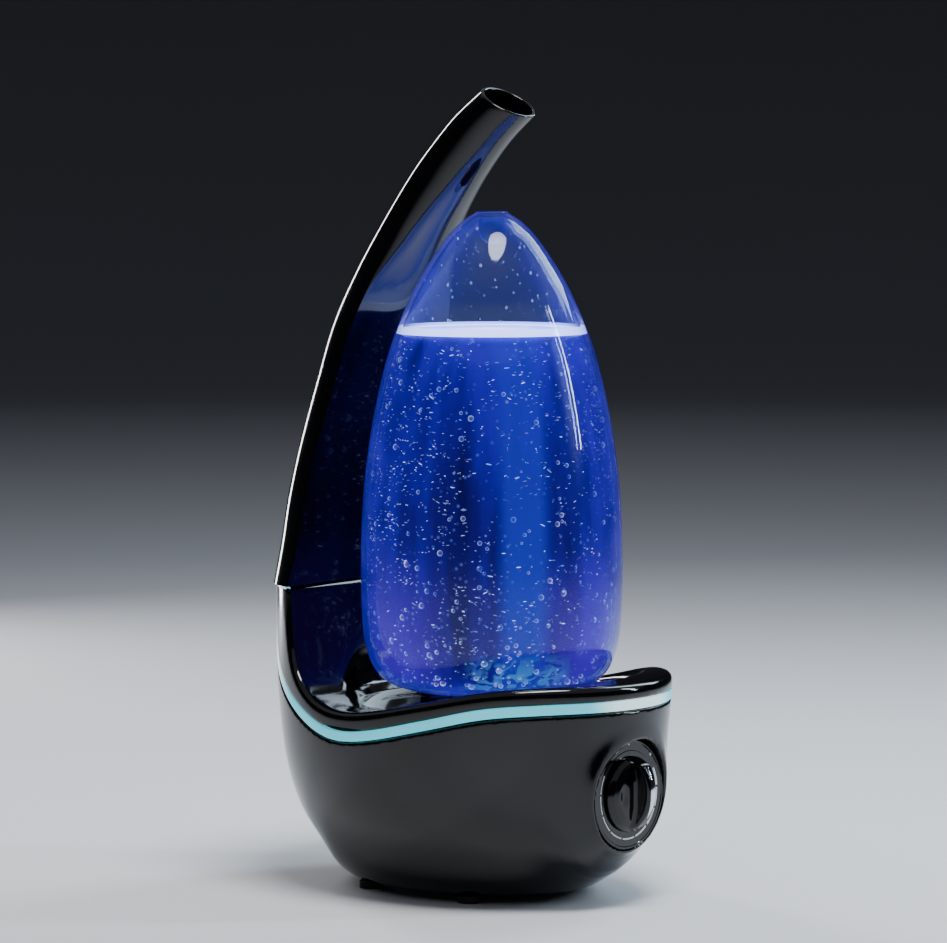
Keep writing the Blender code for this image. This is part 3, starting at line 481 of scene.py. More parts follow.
def skin(name, field, low, high, cell):
    """A gloss black piece over the zero surface of a field in millimetres, one point to a cell of a grid."""
    axes = [np.arange(a, b + cell, cell) for a, b in zip(low, high)]
    grid = np.stack(np.meshgrid(*axes, indexing="ij"), -1)
    value = field(grid)
    shape = np.array(value.shape) - 1
    total = np.zeros((*shape, 3))
    hits = np.zeros(shape)
    crossings = []
    for axis in range(3):
        first = np.moveaxis(value, axis, 0)[:-1]
        second = np.moveaxis(value, axis, 0)[1:]
        crossed = (first < 0) != (second < 0)
        crossings.append((crossed, first < 0))
        share = np.where(crossed, first / np.where(crossed, first - second, 1.0), 0.0)
        start = np.moveaxis(grid, axis, 0)[:-1]
        place = start.copy()
        place[..., axis] += share * cell
        sum_view, hit_view = np.moveaxis(total, axis, 0), np.moveaxis(hits, axis, 0)
        rows, columns = first.shape[1] - 1, first.shape[2] - 1
        for i in (0, 1):
            for j in (0, 1):
                part = crossed[:, i:i + rows, j:j + columns]
                sum_view += place[:, i:i + rows, j:j + columns] * part[..., None]
                hit_view += part
    index = np.full(shape, -1)
    used = hits > 0
    index[used] = np.arange(used.sum())
    points = total[used] / hits[used][:, None]
    faces = []
    for axis, (crossed, inward) in enumerate(crossings):
        turned = np.moveaxis(index, axis, 0)
        a, b = turned[:, :-1, :-1], turned[:, 1:, :-1]
        c, d = turned[:, 1:, 1:], turned[:, :-1, 1:]
        middle, flip = crossed[:, 1:-1, 1:-1], inward[:, 1:-1, 1:-1]
        if axis == 1:
            flip = ~flip
        quads = np.stack([a, b, c, d], -1)
        faces.append(quads[middle & flip])
        faces.append(quads[middle & ~flip][:, ::-1])
    ob = new_piece(name, settle_on(field, points, cell), np.concatenate(faces).tolist())
    ob.data.materials.append(gloss_black_abs())
    ob.data.shade_smooth()
    return ob


def settle_on(field, points, cell):
    """Move points onto the field's zero surface along its slope."""
    tiny = 0.2
    for _ in range(3):
        value = field(points)
        slope = np.stack([field(points + step) - field(points - step) for step in np.eye(3) * tiny], -1) / (2 * tiny)
        strength = np.maximum((slope**2).sum(-1), 0.2)
        move = -slope * (value / strength)[..., None]
        points = points + np.clip(move, -cell / 2, cell / 2)
    return points


# ---------------------------------------------------------------- modelling with mesh operators

def new_piece(name, points, faces):
    """A piece made of points, mm, and faces."""
    mesh = bpy.data.meshes.new(name)
    mesh.from_pydata((points * MM).tolist(), [], faces)
    mesh.update()
    ob = bpy.data.objects.new(name, mesh)
    bpy.context.scene.collection.objects.link(ob)
    return ob


def deselect():
    if bpy.context.mode != "OBJECT":
        bpy.ops.object.mode_set(mode="OBJECT")
    bpy.ops.object.select_all(action="DESELECT")


def edit(ob):
    """Go into edit mode on one piece, with all of it selected."""
    deselect()
    bpy.context.view_layer.objects.active = ob
    ob.select_set(True)
    bpy.ops.object.mode_set(mode="EDIT")
    bpy.ops.mesh.select_all(action="SELECT")


def draw_line(name, points):
    """Start a piece as one point and draw a line from it, as by hand, leaving it in edit mode with all selected."""
    deselect()
    bpy.ops.mesh.primitive_plane_add(size=0.001, location=Vector(points[0]) * MM)
    ob = bpy.context.object
    ob.name = name
    ob.data.name = name
    bpy.ops.object.transform_apply(location=True, rotation=True, scale=True)
    bpy.ops.object.mode_set(mode="EDIT")
    bpy.ops.mesh.select_all(action="SELECT")
    bpy.ops.mesh.merge(type="CENTER")
    for start, end in zip(points, points[1:]):
        step = (Vector(end) - Vector(start)) * MM
        bpy.ops.mesh.extrude_region_move(TRANSFORM_OT_translate={"value": step})
    bpy.ops.mesh.select_all(action="SELECT")
    return ob


def finish_edit(ob, material, angle):
    """Weld, turn the faces outwards, leave edit mode and give the material."""
    bpy.ops.mesh.select_all(action="SELECT")
    bpy.ops.mesh.remove_doubles(threshold=0.000004)
    bpy.ops.mesh.normals_make_consistent(inside=False)
    bpy.ops.object.mode_set(mode="OBJECT")
    bpy.ops.object.shade_smooth_by_angle(angle=math.radians(angle))
    ob.data.materials.clear()
    ob.data.materials.append(material)
    return ob


def spun(name, profile, centre, material, steps=96, axis=(0, 0, 1), sweep=2 * math.pi, angle=40):
    """A drawn line of (radius, height) turned about an upright or a forward axis through centre, mm."""
    x, y, z = centre
    if axis[2]:
        points = [(x + r, y, h) for r, h in profile]
    else:
        points = [(x + r, -h, z) for r, h in profile]
    ob = draw_line(name, points)
    bpy.ops.mesh.spin(steps=steps, angle=sweep, center=Vector(centre) * MM, axis=axis)
    return finish_edit(ob, material, angle)


def place(ob, body, slot, *replaced):
    """Let a finished piece ride on its body and stand for CAD nodes."""
    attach(ob, body)
    if replaced:
        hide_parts(*replaced)


def loft(name, rings, material):
    """A closed skin over rings of points, mm. The last ring joins the first."""
    count = len(rings[0])
    rows = len(rings)
    faces = []
    for row in range(rows):
        following = (row + 1) % rows
        for i in range(count):
            j = (i + 1) % count
            faces.append((row * count + i, row * count + j, following * count + j, following * count + i))
    ob = new_piece(name, np.concatenate(rings), faces)
    edit(ob)
    return finish_edit(ob, material, 35)


def open_loft(name, rings, material):
    """A skin over rings of points in mm, capped at both ends."""
    count = len(rings[0])
    faces = [tuple(range(count)), tuple((len(rings) - 1) * count + i for i in reversed(range(count)))]
    for row in range(len(rings) - 1):
        for i in range(count):
            j = (i + 1) % count
            faces.append((row * count + i, (row + 1) * count + i, (row + 1) * count + j, row * count + j))
    ob = new_piece(name, np.concatenate(rings), faces)
    edit(ob)
    return finish_edit(ob, material, 50)


# ---------------------------------------------------------------- fields of the moulded body

def plan_radius(p):
    """Distance from the body's axis in plan, as if the oval were round."""
    return HALF_LENGTH * np.hypot(p[..., 0] / HALF_WIDTH, (p[..., 1] - BASE_Y) / HALF_LENGTH)


BODY_LINE = smooth_line([(share * HALF_LENGTH, z) for share, z in BODY_SHAPE])
BODY_SIDE = region([(-200, 165), *BODY_LINE, (-200, 4)], (-2, -4), (130, 172))


def body_field(p):
    """How far a point is outside the oval body, true to size on its upright walls."""
    across, ahead = p[..., 0] / HALF_WIDTH, (p[..., 1] - BASE_Y) / HALF_LENGTH
    slope = np.hypot(across / HALF_WIDTH, ahead / HALF_LENGTH)
    steep = HALF_LENGTH * slope / np.maximum(np.hypot(across, ahead), 1e-6)
    upright = np.clip((p[..., 2] - 12) / 25, 0, 1)
    return BODY_SIDE(plan_radius(p), p[..., 2]) / (1 + (steep - 1) * upright)


STRIP = smooth_line(STRIP_LINE)


def over_strip():
    """Side view of all that lies above and before the strip's lower edge."""
    edge = offset_line(STRIP, -(STRIP_HALF + GAP))
    return region([(-FAR, edge[0][1]), *edge, (-FAR, edge[-1][1])], (-FAR, 0), (FAR, 180))


def under_strip():
    """Side view of all that lies below and behind the strip's upper edge."""
    edge = offset_line(STRIP, STRIP_HALF + GAP)
    return region([(-FAR, edge[0][1]), *edge, (FAR, edge[-1][1]), (FAR, 40), (-FAR, 40)], (-FAR, 0), (FAR, 180))


def from_dial(p):
    """Distance from the dial's axis."""
    return np.hypot(p[..., 0], p[..., 2] - DIAL_AXIS_Z)


def housing_field():
    """The lower housing: a hollow oval with the dial's collar, and the holes in it."""
    above = over_strip()
    seam = SEAM_Z - GAP
    collar = region(COLLAR, (-1, 60), (70, 115))

    def field(p):
        x, y, z = p[..., 0], p[..., 1], p[..., 2]
        dial = from_dial(p)
        body = body_field(p)
        flare = rounded_max(collar(dial, -y), z - 90, 3)
        outer = rounded_min(body, flare, 12)
        backing = np.maximum.reduce([dial - 31, y + 95.6, -98.8 - y, body])
        wall = np.minimum(np.maximum(outer, -(body + WALL)), backing)
        wall = rounded_max(wall, -above(y, z), 1.8)
        wall = rounded_max(wall, -np.maximum(dial - SEAT_R, y + 98.3), 0.8)
        wall = np.maximum(wall, -np.maximum(dial - SHAFT_R, y + 80))
        wall = np.maximum(wall, -np.maximum(np.hypot(x, z - INLET_Z) - INLET_R, 70 - y))
        wall = rounded_max(wall, -np.maximum(plan_radius(p) - BOTTOM_R, z - 10), 0.8)
        return rounded_max(wall, z - seam, 0.35)

    return field


def rim_field():
    """The rim over the strip, with the bowl, the riser and the holes in the bowl's floor."""
    below = under_strip()
    crest_line = smooth_line(CREST_LINE)
    crest = region([(-FAR, crest_line[0][1]), *crest_line, (-FAR, crest_line[-1][1])], (-FAR, 60), (FAR, 180))
    bowl = region(BOWL, (-2, 80), (130, 172))

    def field(p):
        x, y, z = p[..., 0], p[..., 1], p[..., 2]
        body = body_field(p)
        band = rounded_max(body, -below(y, z), 1.2)
        band = np.maximum(band, -np.maximum(body + 2 * WALL, z - DECK_UNDER))
        inner = np.maximum.reduce([body + WALL + 0.6, z - (SEAM_Z - 2.0), DECK_UNDER - z])
        solid = rounded_max(np.minimum(inner, band), z - (SEAM_Z - GAP), 0.35)
        solid = rounded_max(solid, -crest(y, z), 5.0)
        tank = np.hypot(x, y - TANK_Y)
        solid = rounded_max(solid, -bowl(tank, z), 4.5)
        across, behind = np.abs(x) / RISER_HALF, np.maximum(y - RISER_Y, 0) / RISER_DEPTH
        riser = (across**RISER_POWER + behind**RISER_POWER) ** (1 / RISER_POWER)
        passage = np.maximum((riser - 1) * RISER_DEPTH, RISER_Y - y)
        solid = rounded_max(solid, -passage, 1.0)
        solid = rounded_max(solid, DRAIN_R - tank, 1.0)
        return rounded_max(solid, WELL_R - np.hypot(x, y - WELL_Y), 1.0)

    return field


def knob_field():
    """The knob: a dome, the grip across it and the room behind it."""
    dome = region(
        [(-99, 107.2), (0, 107.2), (8.5, 107.0), (13.7, 106.0), (17.2, 104.6), (19.0, 102.8), (19.4, 102.0),
         (19.4, 101.0), (-99, 101.0)], (-1, 95), (26, 112), 0.1,
    )

    def field(p):
        x, y, z = p[..., 0], p[..., 1], p[..., 2] - DIAL_AXIS_Z
        radius = np.hypot(x, z)
        cap = dome(radius, -y)
        # Finger scoops on each side of the grip.
        scoop = (np.sqrt((np.abs(x) - 12.2) ** 2 / 0.62 + (y + 114.2) ** 2 / 0.75 + z**2 / 2.1) - 9.6) * 0.8
        cap = rounded_max(cap, -scoop, 0.9)
        taper = (y + 116.2) * 0.06
        arc = np.hypot(y - GRIP_ARC[0], z - GRIP_ARC[1]) - GRIP_ARC[2]
        grip = rounded_max(np.abs(x) - GRIP_HALF - taper, arc, 1.6)
        grip = rounded_max(grip, radius - 16.7 - taper, 1.6)
        grip = np.maximum(grip, y - KNOB_BACK_Y)
        solid = rounded_min(cap, grip, 2.0)
        room = np.maximum(radius - 7.2, -104.4 - y)
        return np.maximum.reduce([solid, -room, y - KNOB_BACK_Y])

    return field


# ---------------------------------------------------------------- settings

class HumidifierShell(bpy.types.PropertyGroup):
    """Settings of the moulded body and its light strip."""

    cell: bpy.props.FloatProperty(
        name="Surface step", description="Size of the faces of the moulded body", default=0.0014, unit="LENGTH")
    strip_colour: bpy.props.FloatVectorProperty(
        name="Strip colour", description="Colour of the light strip along the sides",
        default=colour("#4FC0D2")[:3], subtype="COLOR")
    strip_glow: bpy.props.FloatProperty(
        name="Strip glow", description="Strength of the light strip", default=1.0, min=0.0)


class HumidifierWater(bpy.types.PropertyGroup):
    """Settings of the lit water."""

    level: bpy.props.FloatProperty(
        name="Water level", description="Height of the water above the table", default=0.2925, unit="LENGTH")
    clear_layer: bpy.props.FloatProperty(
        name="Clear layer", description="Depth of clear water inside the wall", default=0.0014, unit="LENGTH")
    # The middle stop of the water's painted glow, the lamp's light half way up.
    deep_glow_colour: bpy.props.FloatVectorProperty(
        name="Deep colour", description="Colour of the water half way up",
        default=colour("#320C84")[:3], subtype="COLOR")
    glow: bpy.props.FloatProperty(name="Glow", description="Strength of the water's light", default=0.6, min=0.0)
    bubbles: bpy.props.IntProperty(name="Bubbles", description="How many round bubbles", default=520, min=0)
    dashes: bpy.props.IntProperty(name="Specks", description="How many small drifting specks", default=3200, min=0)


class HumidifierStage(bpy.types.PropertyGroup):
    """Settings of the floor and the lights."""

    floor_colour: bpy.props.FloatVectorProperty(
        name="Floor colour", description="Colour of the plain floor", default=colour("#E4E5E8")[:3], subtype="COLOR")
    daylight: bpy.props.FloatProperty(
        name="Room light", description="Strength of the even light all round", default=0.55, min=0.0)


# ---------------------------------------------------------------- one operator for each group of pieces

class HUMIDIFIER_OT_housing(bpy.types.Operator):
    """Mould the lower housing, with the flared collar round its dial"""

    bl_idname = "humidifier.housing"
    bl_label = "Lower housing"

    def execute(self, context):
        cell = context.scene.humidifier_shell.cell / MM
        ob = skin("housing_shell", housing_field(), (-91, -113, 2), (91, 119, 160), cell)
        place(ob, "base", "gloss_black", "lower_housing")
        return {"FINISHED"}


class HUMIDIFIER_OT_rim(bpy.types.Operator):
    """Mould the upper rim, the bowl for the tank and the riser for the mist"""

    bl_idname = "humidifier.rim"
    bl_label = "Rim and bowl"

    def execute(self, context):
        cell = context.scene.humidifier_shell.cell / MM
        ob = skin("rim_and_bowl", rim_field(), (-91, -113, 90), (91, 119, 160), cell * 0.9)
        place(ob, "base", "gloss_black", "rim_cover")
        return {"FINISHED"}


def body_share(z):
    """Body radius at a height, as a share of the plan oval."""
    return np.interp(-z, -BODY_LINE[:, 1], BODY_LINE[:, 0] / HALF_LENGTH)


def strip_places():
    """Side view places along the middle of the light strip, from the nose to the seam."""
    front = BASE_Y - HALF_LENGTH * np.cos(np.linspace(0, math.radians(118), 90))
    height = np.interp(front, STRIP[:, 0], STRIP[:, 1])
    climb = STRIP[(STRIP[:, 0] > front[-1] + 0.5) & (STRIP[:, 1] < SEAM_Z - 1.0)]
    return np.vstack([np.stack([front, height], 1), climb, [[STRIP_END_Y, SEAM_Z - 0.4]]])


def ribbon_rings(half, thick, places):
    """Sections of a ribbon set in the body's wall along side view places, with its corners rounded."""
    shape = [(-1, thick), (-1, 0.3), (-0.96, 0.08), (-0.85, 0.0), (0.85, 0.0), (0.96, 0.08), (1, 0.3), (1, thick)]
    along = np.gradient(places, axis=0)
    along[0] = (1, 0)
    along /= np.linalg.norm(along, axis=1)[:, None]
    rings = []
    for (y, z), (ty, tz) in zip(places, along):
        # Near the nose the section stands upright, further back it stands square to the ribbon.
        lean = min(max((y + 100) / 60, 0), 1)
        facing = min(max((BASE_Y - y) / (HALF_LENGTH * (body_share(z) if y > -90 else 1.0)), -1), 1)
        ring = []
        for across, inset in shape:
            rise = ty if lean == 1 else (1 - lean * tz * tz) / ty
            height = z + half * across * rise
            share = body_share(height)
            turn = min(max(facing + half * across * tz * lean / (HALF_LENGTH * share), -1), 1)
            side = math.sqrt(1 - turn**2)
            ring.append((
                (HALF_WIDTH * share - inset) * side, BASE_Y - (HALF_LENGTH * share - inset) * turn, height))
        rings.append(np.array(ring))
    return rings


class HUMIDIFIER_OT_light_strip(bpy.types.Operator):
    """Lay the lit strip round the body under the rim, and the thin line under the arm's seam"""

    bl_idname = "humidifier.light_strip"
    bl_label = "Light strip"

    def execute(self, context):
        settings = context.scene.humidifier_shell
        middle = (*settings.strip_colour, 1.0)
        lit = lit_diffuser(middle, colour("#F4FEFF"), settings.strip_glow)
        rings = ribbon_rings(STRIP_HALF, WALL, strip_places())
        left = [ring * np.array([-1, 1, 1]) for ring in reversed(rings[1:])]
        place(open_loft("light_ribbon", left + rings, lit), "base", "strip_diffuser", "light_strip")
        for name, sign in (("seam_line_left", -1), ("seam_line_right", 1)):
            line = np.array([(y, SEAM_Z - 0.9) for y in np.linspace(72.0, 96.0, 16)])
            rings = [ring * np.array([sign, 1, 1]) for ring in ribbon_rings(SEAM_LINE_HALF, WALL, line)]
            place(open_loft(name, rings, lit), "base", "strip_diffuser")
        return {"FINISHED"}


def arm_ring(station, inset, lift=0.0):
    """One section of the mist arm, moved in by inset and along the arm by lift."""
    y, z, half, behind, front, tilt, power = station
    angle = np.linspace(0, 2 * math.pi, ARM_POINTS, endpoint=False)
    share = np.abs(np.cos(angle))
    fall = 1.0 - 0.5 * min(max(front / 14.0, 0.0), 1.0)
    back = behind * np.maximum(1 - share**power, 0) ** (1 / power)
    ahead = -front * np.maximum(1 - share**2, 0) ** fall
    depth = np.where(np.sin(angle) >= 0, back, ahead)
    flat = np.stack([half * np.cos(angle), depth], 1)
    along = np.roll(flat, -1, axis=0) - np.roll(flat, 1, axis=0)
    along /= np.maximum(np.linalg.norm(along, axis=1), 1e-6)[:, None]
    flat -= np.stack([along[:, 1], -along[:, 0]], 1) * inset
    tilt = math.radians(tilt)
    rise = np.array([0, -math.sin(tilt), math.cos(tilt)]) * lift
    return np.stack([flat[:, 0], y + flat[:, 1] * math.cos(tilt), z + flat[:, 1] * math.sin(tilt)], 1) + rise


class HUMIDIFIER_OT_mist_arm(bpy.types.Operator):
    """Draw the tusk-shaped mist arm through its stations, with a rolled lip round its mouth"""

    bl_idname = "humidifier.mist_arm"
    bl_label = "Mist arm"

    def execute(self, context):
        stations = smooth_line(ARM_STATIONS, 6)
        outer = [arm_ring(s, 0.0) for s in stations]
        tip = stations[-1]
        lip = []
        radius = ARM_WALL / 2
        for k in range(1, 8):
            turn = math.pi * k / 8
            lip.append(arm_ring(tip, radius * (1 - math.cos(turn)), radius * 0.55 * math.sin(turn)))
        inner = [arm_ring(s, ARM_WALL) for s in stations[::-1]]
        foot = [arm_ring(stations[0], 0.5)]
        place(loft("arm_shell", outer + lip + inner + foot, gloss_black_abs()), "arm", "gloss_black", "mist_arm")
        return {"FINISHED"}


def tank_line(inset):
    """The tank's smooth outline from the crown to its floor, moved in by inset."""
    line = smooth_line(TANK_OUTLINE, 6)
    return offset_line(line, -inset) if inset else line


class HUMIDIFIER_OT_tank(bpy.types.Operator):
    """Spin the clear tank, its crown and the ring inside its top"""

    bl_idname = "humidifier.tank"
    bl_label = "Tank"

    def execute(self, context):
        clear = clear_blue_tank()
        centre = (0, TANK_Y, 0)
        outer = [tuple(p) for p in tank_line(0.0)]
        inner = [tuple(p) for p in tank_line(TANK_WALL)][::-1]
        bore = NECK_R - NECK_WALL
        bottom = [(NECK_R + 3, 105.4), (NECK_R, 104.6), (NECK_R, NECK_END), (bore, NECK_END), (bore, 107.4)]
        profile = [(0.0, 352.0), (5.0, 352.0)] + outer + bottom + inner + [(5.0, 349.6), (0.0, 349.6)]
        shell = spun("tank_wall", profile, centre, clear, steps=128, angle=30)
        place(shell, "tank", "tank_blue", "tank_shell")
        violet = moulded("violet_crown", "#3A2C9E", 0.12, 0.5, 0.02, coat=0.6)
        button = [(0, 352.2), (8.2, 352.2), (8.6, 352.5), (8.5, 353.0), (7.9, 353.2), (3.0, 353.05), (0, 353.0)]
        crown = spun("crown_disc", button, centre, violet, steps=64)
        place(crown, "tank", "tank_blue", "tank_crown")
        round_end = [(7.0 * math.cos(a), 343 - 7.0 * math.sin(a)) for a in np.linspace(0, math.pi / 2, 12)]
        pip = spun("crown_pip", [(0.0, 349.5), (6.6, 349.5), *round_end[:-1], (0.0, 336.0)], centre, clear, steps=48)
        place(pip, "tank", "tank_blue")
        return {"FINISHED"}


class HUMIDIFIER_OT_water(bpy.types.Operator):
    """Fill the tank: the lit water and its bright surface with a meniscus at the wall"""

    bl_idname = "humidifier.water"
    bl_label = "Water"

    def execute(self, context):
        settings = context.scene.humidifier_water
        centre = (0, TANK_Y, 0)
        level = settings.level / MM
        line = tank_line(TANK_WALL + settings.clear_layer / MM)
        side = [tuple(p) for p in line if p[1] < level - 0.6]
        edge = float(np.interp(-level, -line[:, 1], line[:, 0]))
        floor = side[-1][1] - 0.4
        profile = [(0.0, level - 0.5), (edge, level - 0.5)] + side + [(18.0, floor), (0.0, floor)]
        body = spun("lit_water", profile, centre, lit_water(settings), steps=96, angle=60)
        place(body, "tank", "tank_blue")
        wall = tank_line(0.5)
        reach, below = (float(np.interp(-z, -wall[:, 1], wall[:, 0])) for z in (level, level - 2.4))
        # The water climbs the wall a little at its edge.
        rise = [
            (0.0, 0.0), (reach - 6, 0.0), (reach - 3.2, 0.2), (reach - 1.6, 0.6), (reach - 0.5, 1.4), (reach, 0.2),
            (below, -2.4), (below - 0.5, -2.4), (reach - 4, -0.5), (0.0, -0.5),
        ]
        meniscus = [(r, level + up) for r, up in rise]
        surface = spun("water_surface", meniscus, centre, bright_surface(), steps=96, angle=60)
        place(surface, "tank", "tank_blue")
        return {"FINISHED"}


def scatter(name, spots, material, segments, rings):
    """Copies of one small ball, each with its own place, size and stretch, as one piece."""
    deselect()
    bpy.ops.mesh.primitive_uv_sphere_add(segments=segments, ring_count=rings, radius=1.0)
    ball = bpy.context.object
    local = np.array([v.co for v in ball.data.vertices])
    faces = [tuple(p.vertices) for p in ball.data.polygons]
    bpy.data.objects.remove(ball, do_unlink=True)
    points, all_faces = [], []
    for spot, size, axes in spots:
        start = len(points) * len(local)
        points.append(local * np.array(size) @ np.array(axes) + np.array(spot))
        all_faces += [tuple(start + i for i in f) for f in faces]
    ob = new_piece(name, np.concatenate(points), all_faces)
    ob.data.materials.append(material)
    ob.data.shade_smooth()
    return ob


def wall_axes(angle):
    """Axes of a spot on the tank's wall: round it, up it, and out of it."""
    return np.array([[math.cos(angle), math.sin(angle), 0], [0, 0, 1.0], [math.sin(angle), -math.cos(angle), 0]])


class HUMIDIFIER_OT_bubbles(bpy.types.Operator):
    """Scatter bubbles and drifting specks in the water, and droplets on the dry wall above it"""

    bl_idname = "humidifier.bubbles"
    bl_label = "Bubbles and droplets"

    def execute(self, context):
        settings = context.scene.humidifier_water
        level = settings.level / MM
        draw = random.Random(4)
        wall = tank_line(TANK_WALL)
        layer = settings.clear_layer / MM

        def inside_wall(angle, z, depth):
            reach = float(np.interp(-z, -wall[:, 1], wall[:, 0])) - depth
            return np.array((reach * math.sin(angle), TANK_Y - reach * math.cos(angle), z))

        rounds = []
        for _ in range(settings.bubbles):
            z = BUBBLES_LOW + (level - 118) * draw.random() ** 1.9
            size = 0.45 + 1.35 * draw.random() ** 2.6
            angle = draw.uniform(0, 2 * math.pi)
            rounds.append((inside_wall(angle, z, layer + 0.35 * size), (size, size, size), wall_axes(angle)))
        # Larger bubbles low down, each with a painted glint, a small bright speck, on its upper left.
        glints = []
        for _ in range(90):
            z, size, angle = draw.uniform(114, 178), 1.0 + 1.4 * draw.random() ** 1.6, draw.uniform(0, 2 * math.pi)
            spot = inside_wall(angle, z, layer + 0.6 * size)
            around_it, up, out = wall_axes(angle)
            rounds.append((spot, (size, size, size), (around_it, up, out)))
            lit = spot + (-0.25 * around_it + 0.35 * up + 0.88 * out) * size
            glints.append((lit, (0.24 * size, 0.2 * size, 0.12 * size), (around_it, up, out)))
        ring = bubble_film("air_bubble", 2.0, 1.6, 0.05)
        place(scatter("round_bubbles", rounds, ring, 10, 6), "tank", "tank_blue")
        bright, faint = glints, []
        # Two specks in three drift in loose swarms.
        swarms = []
        for _ in range(150):
            swarms.append((draw.uniform(0, 2 * math.pi), BUBBLES_LOW + (level - 114) * draw.random() ** 0.8))
        for k in range(settings.dashes):
            if k % 3:
                angle, z = draw.choice(swarms)
            else:
                angle, z = draw.uniform(0, 2 * math.pi), draw.uniform(BUBBLES_LOW, level - 3)
            angle += draw.gauss(0, 0.13)
            z = min(max(z + draw.gauss(0, 8), 110), level - 2)
            thin = draw.uniform(0.12, 0.2 + 0.16 * draw.random() ** 3)
            wide = thin * draw.uniform(1.0, 6.0)
            roll = draw.gauss(0, 0.3)
            spot = inside_wall(angle, z, layer - draw.uniform(0.0, 0.5))
            around_it, up, out = wall_axes(angle)
            c, s = math.cos(roll), math.sin(roll)
            tilted = (around_it * c + up * s, up * c - around_it * s, out)
            (bright if draw.random() < 0.3 else faint).append((spot, (wide, thin, thin), tilted))
        # The glints and the brighter specks shine with painted light, the rest glow fainter.
        shining = bubble_film("shining_speck", 2.4, 0.8, 0.45)
        place(scatter("shining_specks", bright, shining, 6, 4), "tank", "tank_blue")
        soft = bubble_film("drifting_speck", 0.9, 0.8, 0.3)
        place(scatter("drifting_specks", faint, soft, 6, 4), "tank", "tank_blue")
        drops = []
        for _ in range(170):
            z = level + 4 + (DROPLETS_HIGH - level - 4) * draw.random() ** 1.2
            angle = draw.uniform(0, 2 * math.pi)
            size = 0.22 + 0.5 * draw.random() ** 2.5
            drops.append((inside_wall(angle, z, 0.25), (size, size * 1.25, size * 0.4), wall_axes(angle)))
        # The droplets' bright rims are painted light as well.
        wet = bubble_film("water_droplet", 2.2, 1.2, 0.08)
        place(scatter("wall_droplets", drops, wet, 8, 6), "tank", "tank_blue")
        return {"FINISHED"}


class HUMIDIFIER_OT_dial(bpy.types.Operator):
    """Turn the dial plate and print its growing scale and marks"""

    bl_idname = "humidifier.dial"
    bl_label = "Dial"

    def execute(self, context):
        face = -DIAL_FRONT_Y
        plate = [
            (4.0, face - 2), (28.3, face - 2), (28.3, face - 0.4), (28.0, face), (27.2, face), (26.8, face - 0.3),
            (22.4, face - 0.3), (22.1, face), (4.0, face), (4.0, face - 2),
        ]
        ob = spun("dial_disc", plate, (0, 0, DIAL_AXIS_Z), gloss_black_abs(), axis=(0, 1, 0), angle=25)
        place(ob, "base", "gloss_black", "dial_plate")
        # Pad printed ink, slightly uneven and worn. Each length of the scale is wider than the last.
        ink = moulded("printed_white_ink", "#E9ECEF", 0.45, 0.4, 0.1)
        first, last, count = 150, 392, 9
        step = (last - first) / count
        for k in range(count):
            half = (0.45 + 1.1 * (k / (count - 1)) ** 1.5) / 2
            self.arc(f"scale_{k + 1}", SCALE_R, half, ink, first + step * k, step - 3.0)
        for k, degrees in enumerate((134, 90, 46), 1):
            self.arc(f"mark_{k}", MARK_R, 0.6, ink, degrees - 1.6, 3.2)
        return {"FINISHED"}

    def arc(self, name, radius, half, ink, start, sweep):
        """A printed line round the dial between two angles, degrees counter-clockwise from the right."""
        low = -DIAL_FRONT_Y - 0.3
        corners = ((-half, -0.05), (half, -0.05), (half, 0.1), (-half, 0.1), (-half, -0.05))
        section = [(radius + across, low + rise) for across, rise in corners]
        centre = (0, 0, DIAL_AXIS_Z)
        ob = spun(name, section, centre, ink, steps=max(int(sweep / 2), 3), axis=(0, 1, 0),
                  sweep=math.radians(sweep), angle=30)
        edit(ob)
        bpy.ops.mesh.region_to_loop()
        bpy.ops.mesh.edge_face_add()
        bpy.ops.mesh.select_all(action="SELECT")
        bpy.ops.mesh.normals_make_consistent(inside=False)
        bpy.ops.object.mode_set(mode="OBJECT")
        middle = Vector(centre) * MM
        turn = Matrix.Rotation(-math.radians(start), 4, "Y")
        ob.data.transform(Matrix.Translation(middle) @ turn @ Matrix.Translation(-middle))
        place(ob, "base", "gloss_black")


class HUMIDIFIER_OT_knob(bpy.types.Operator):
    """Mould the control knob: a low dome with finger scoops beside an upright grip"""

    bl_idname = "humidifier.knob"
    bl_label = "Control knob"

    def execute(self, context):
        ob = skin("knob_dome", knob_field(), (-22, -118, 36), (22, -99.6, 80), 0.42)
        place(ob, "knob", "gloss_black", "control_knob")
        self.trim()
        return {"FINISHED"}

    def trim(self):
        """A bright pointed strip let into the grip's front edge, following its arc."""
        middle, height, radius = GRIP_ARC
        rings = []
        for share in np.linspace(-1, 1, 33):
            half = 1.75 * (1 - share**2) + 0.12
            angle = math.radians(34) * share
            corners = ((-1, -1.0), (-1, -0.05), (-0.6, 0.18), (0.6, 0.18), (1, -0.05), (1, -1.0))
            front = [(half * across, radius + rise) for across, rise in corners]
            rings.append(np.array([
                (x, middle - r * math.cos(angle), DIAL_AXIS_Z + height + r * math.sin(angle)) for x, r in front]))
        place(open_loft("grip_trim", rings, finish_of("polished_chrome")), "knob", "chrome_trim", "knob_trim")


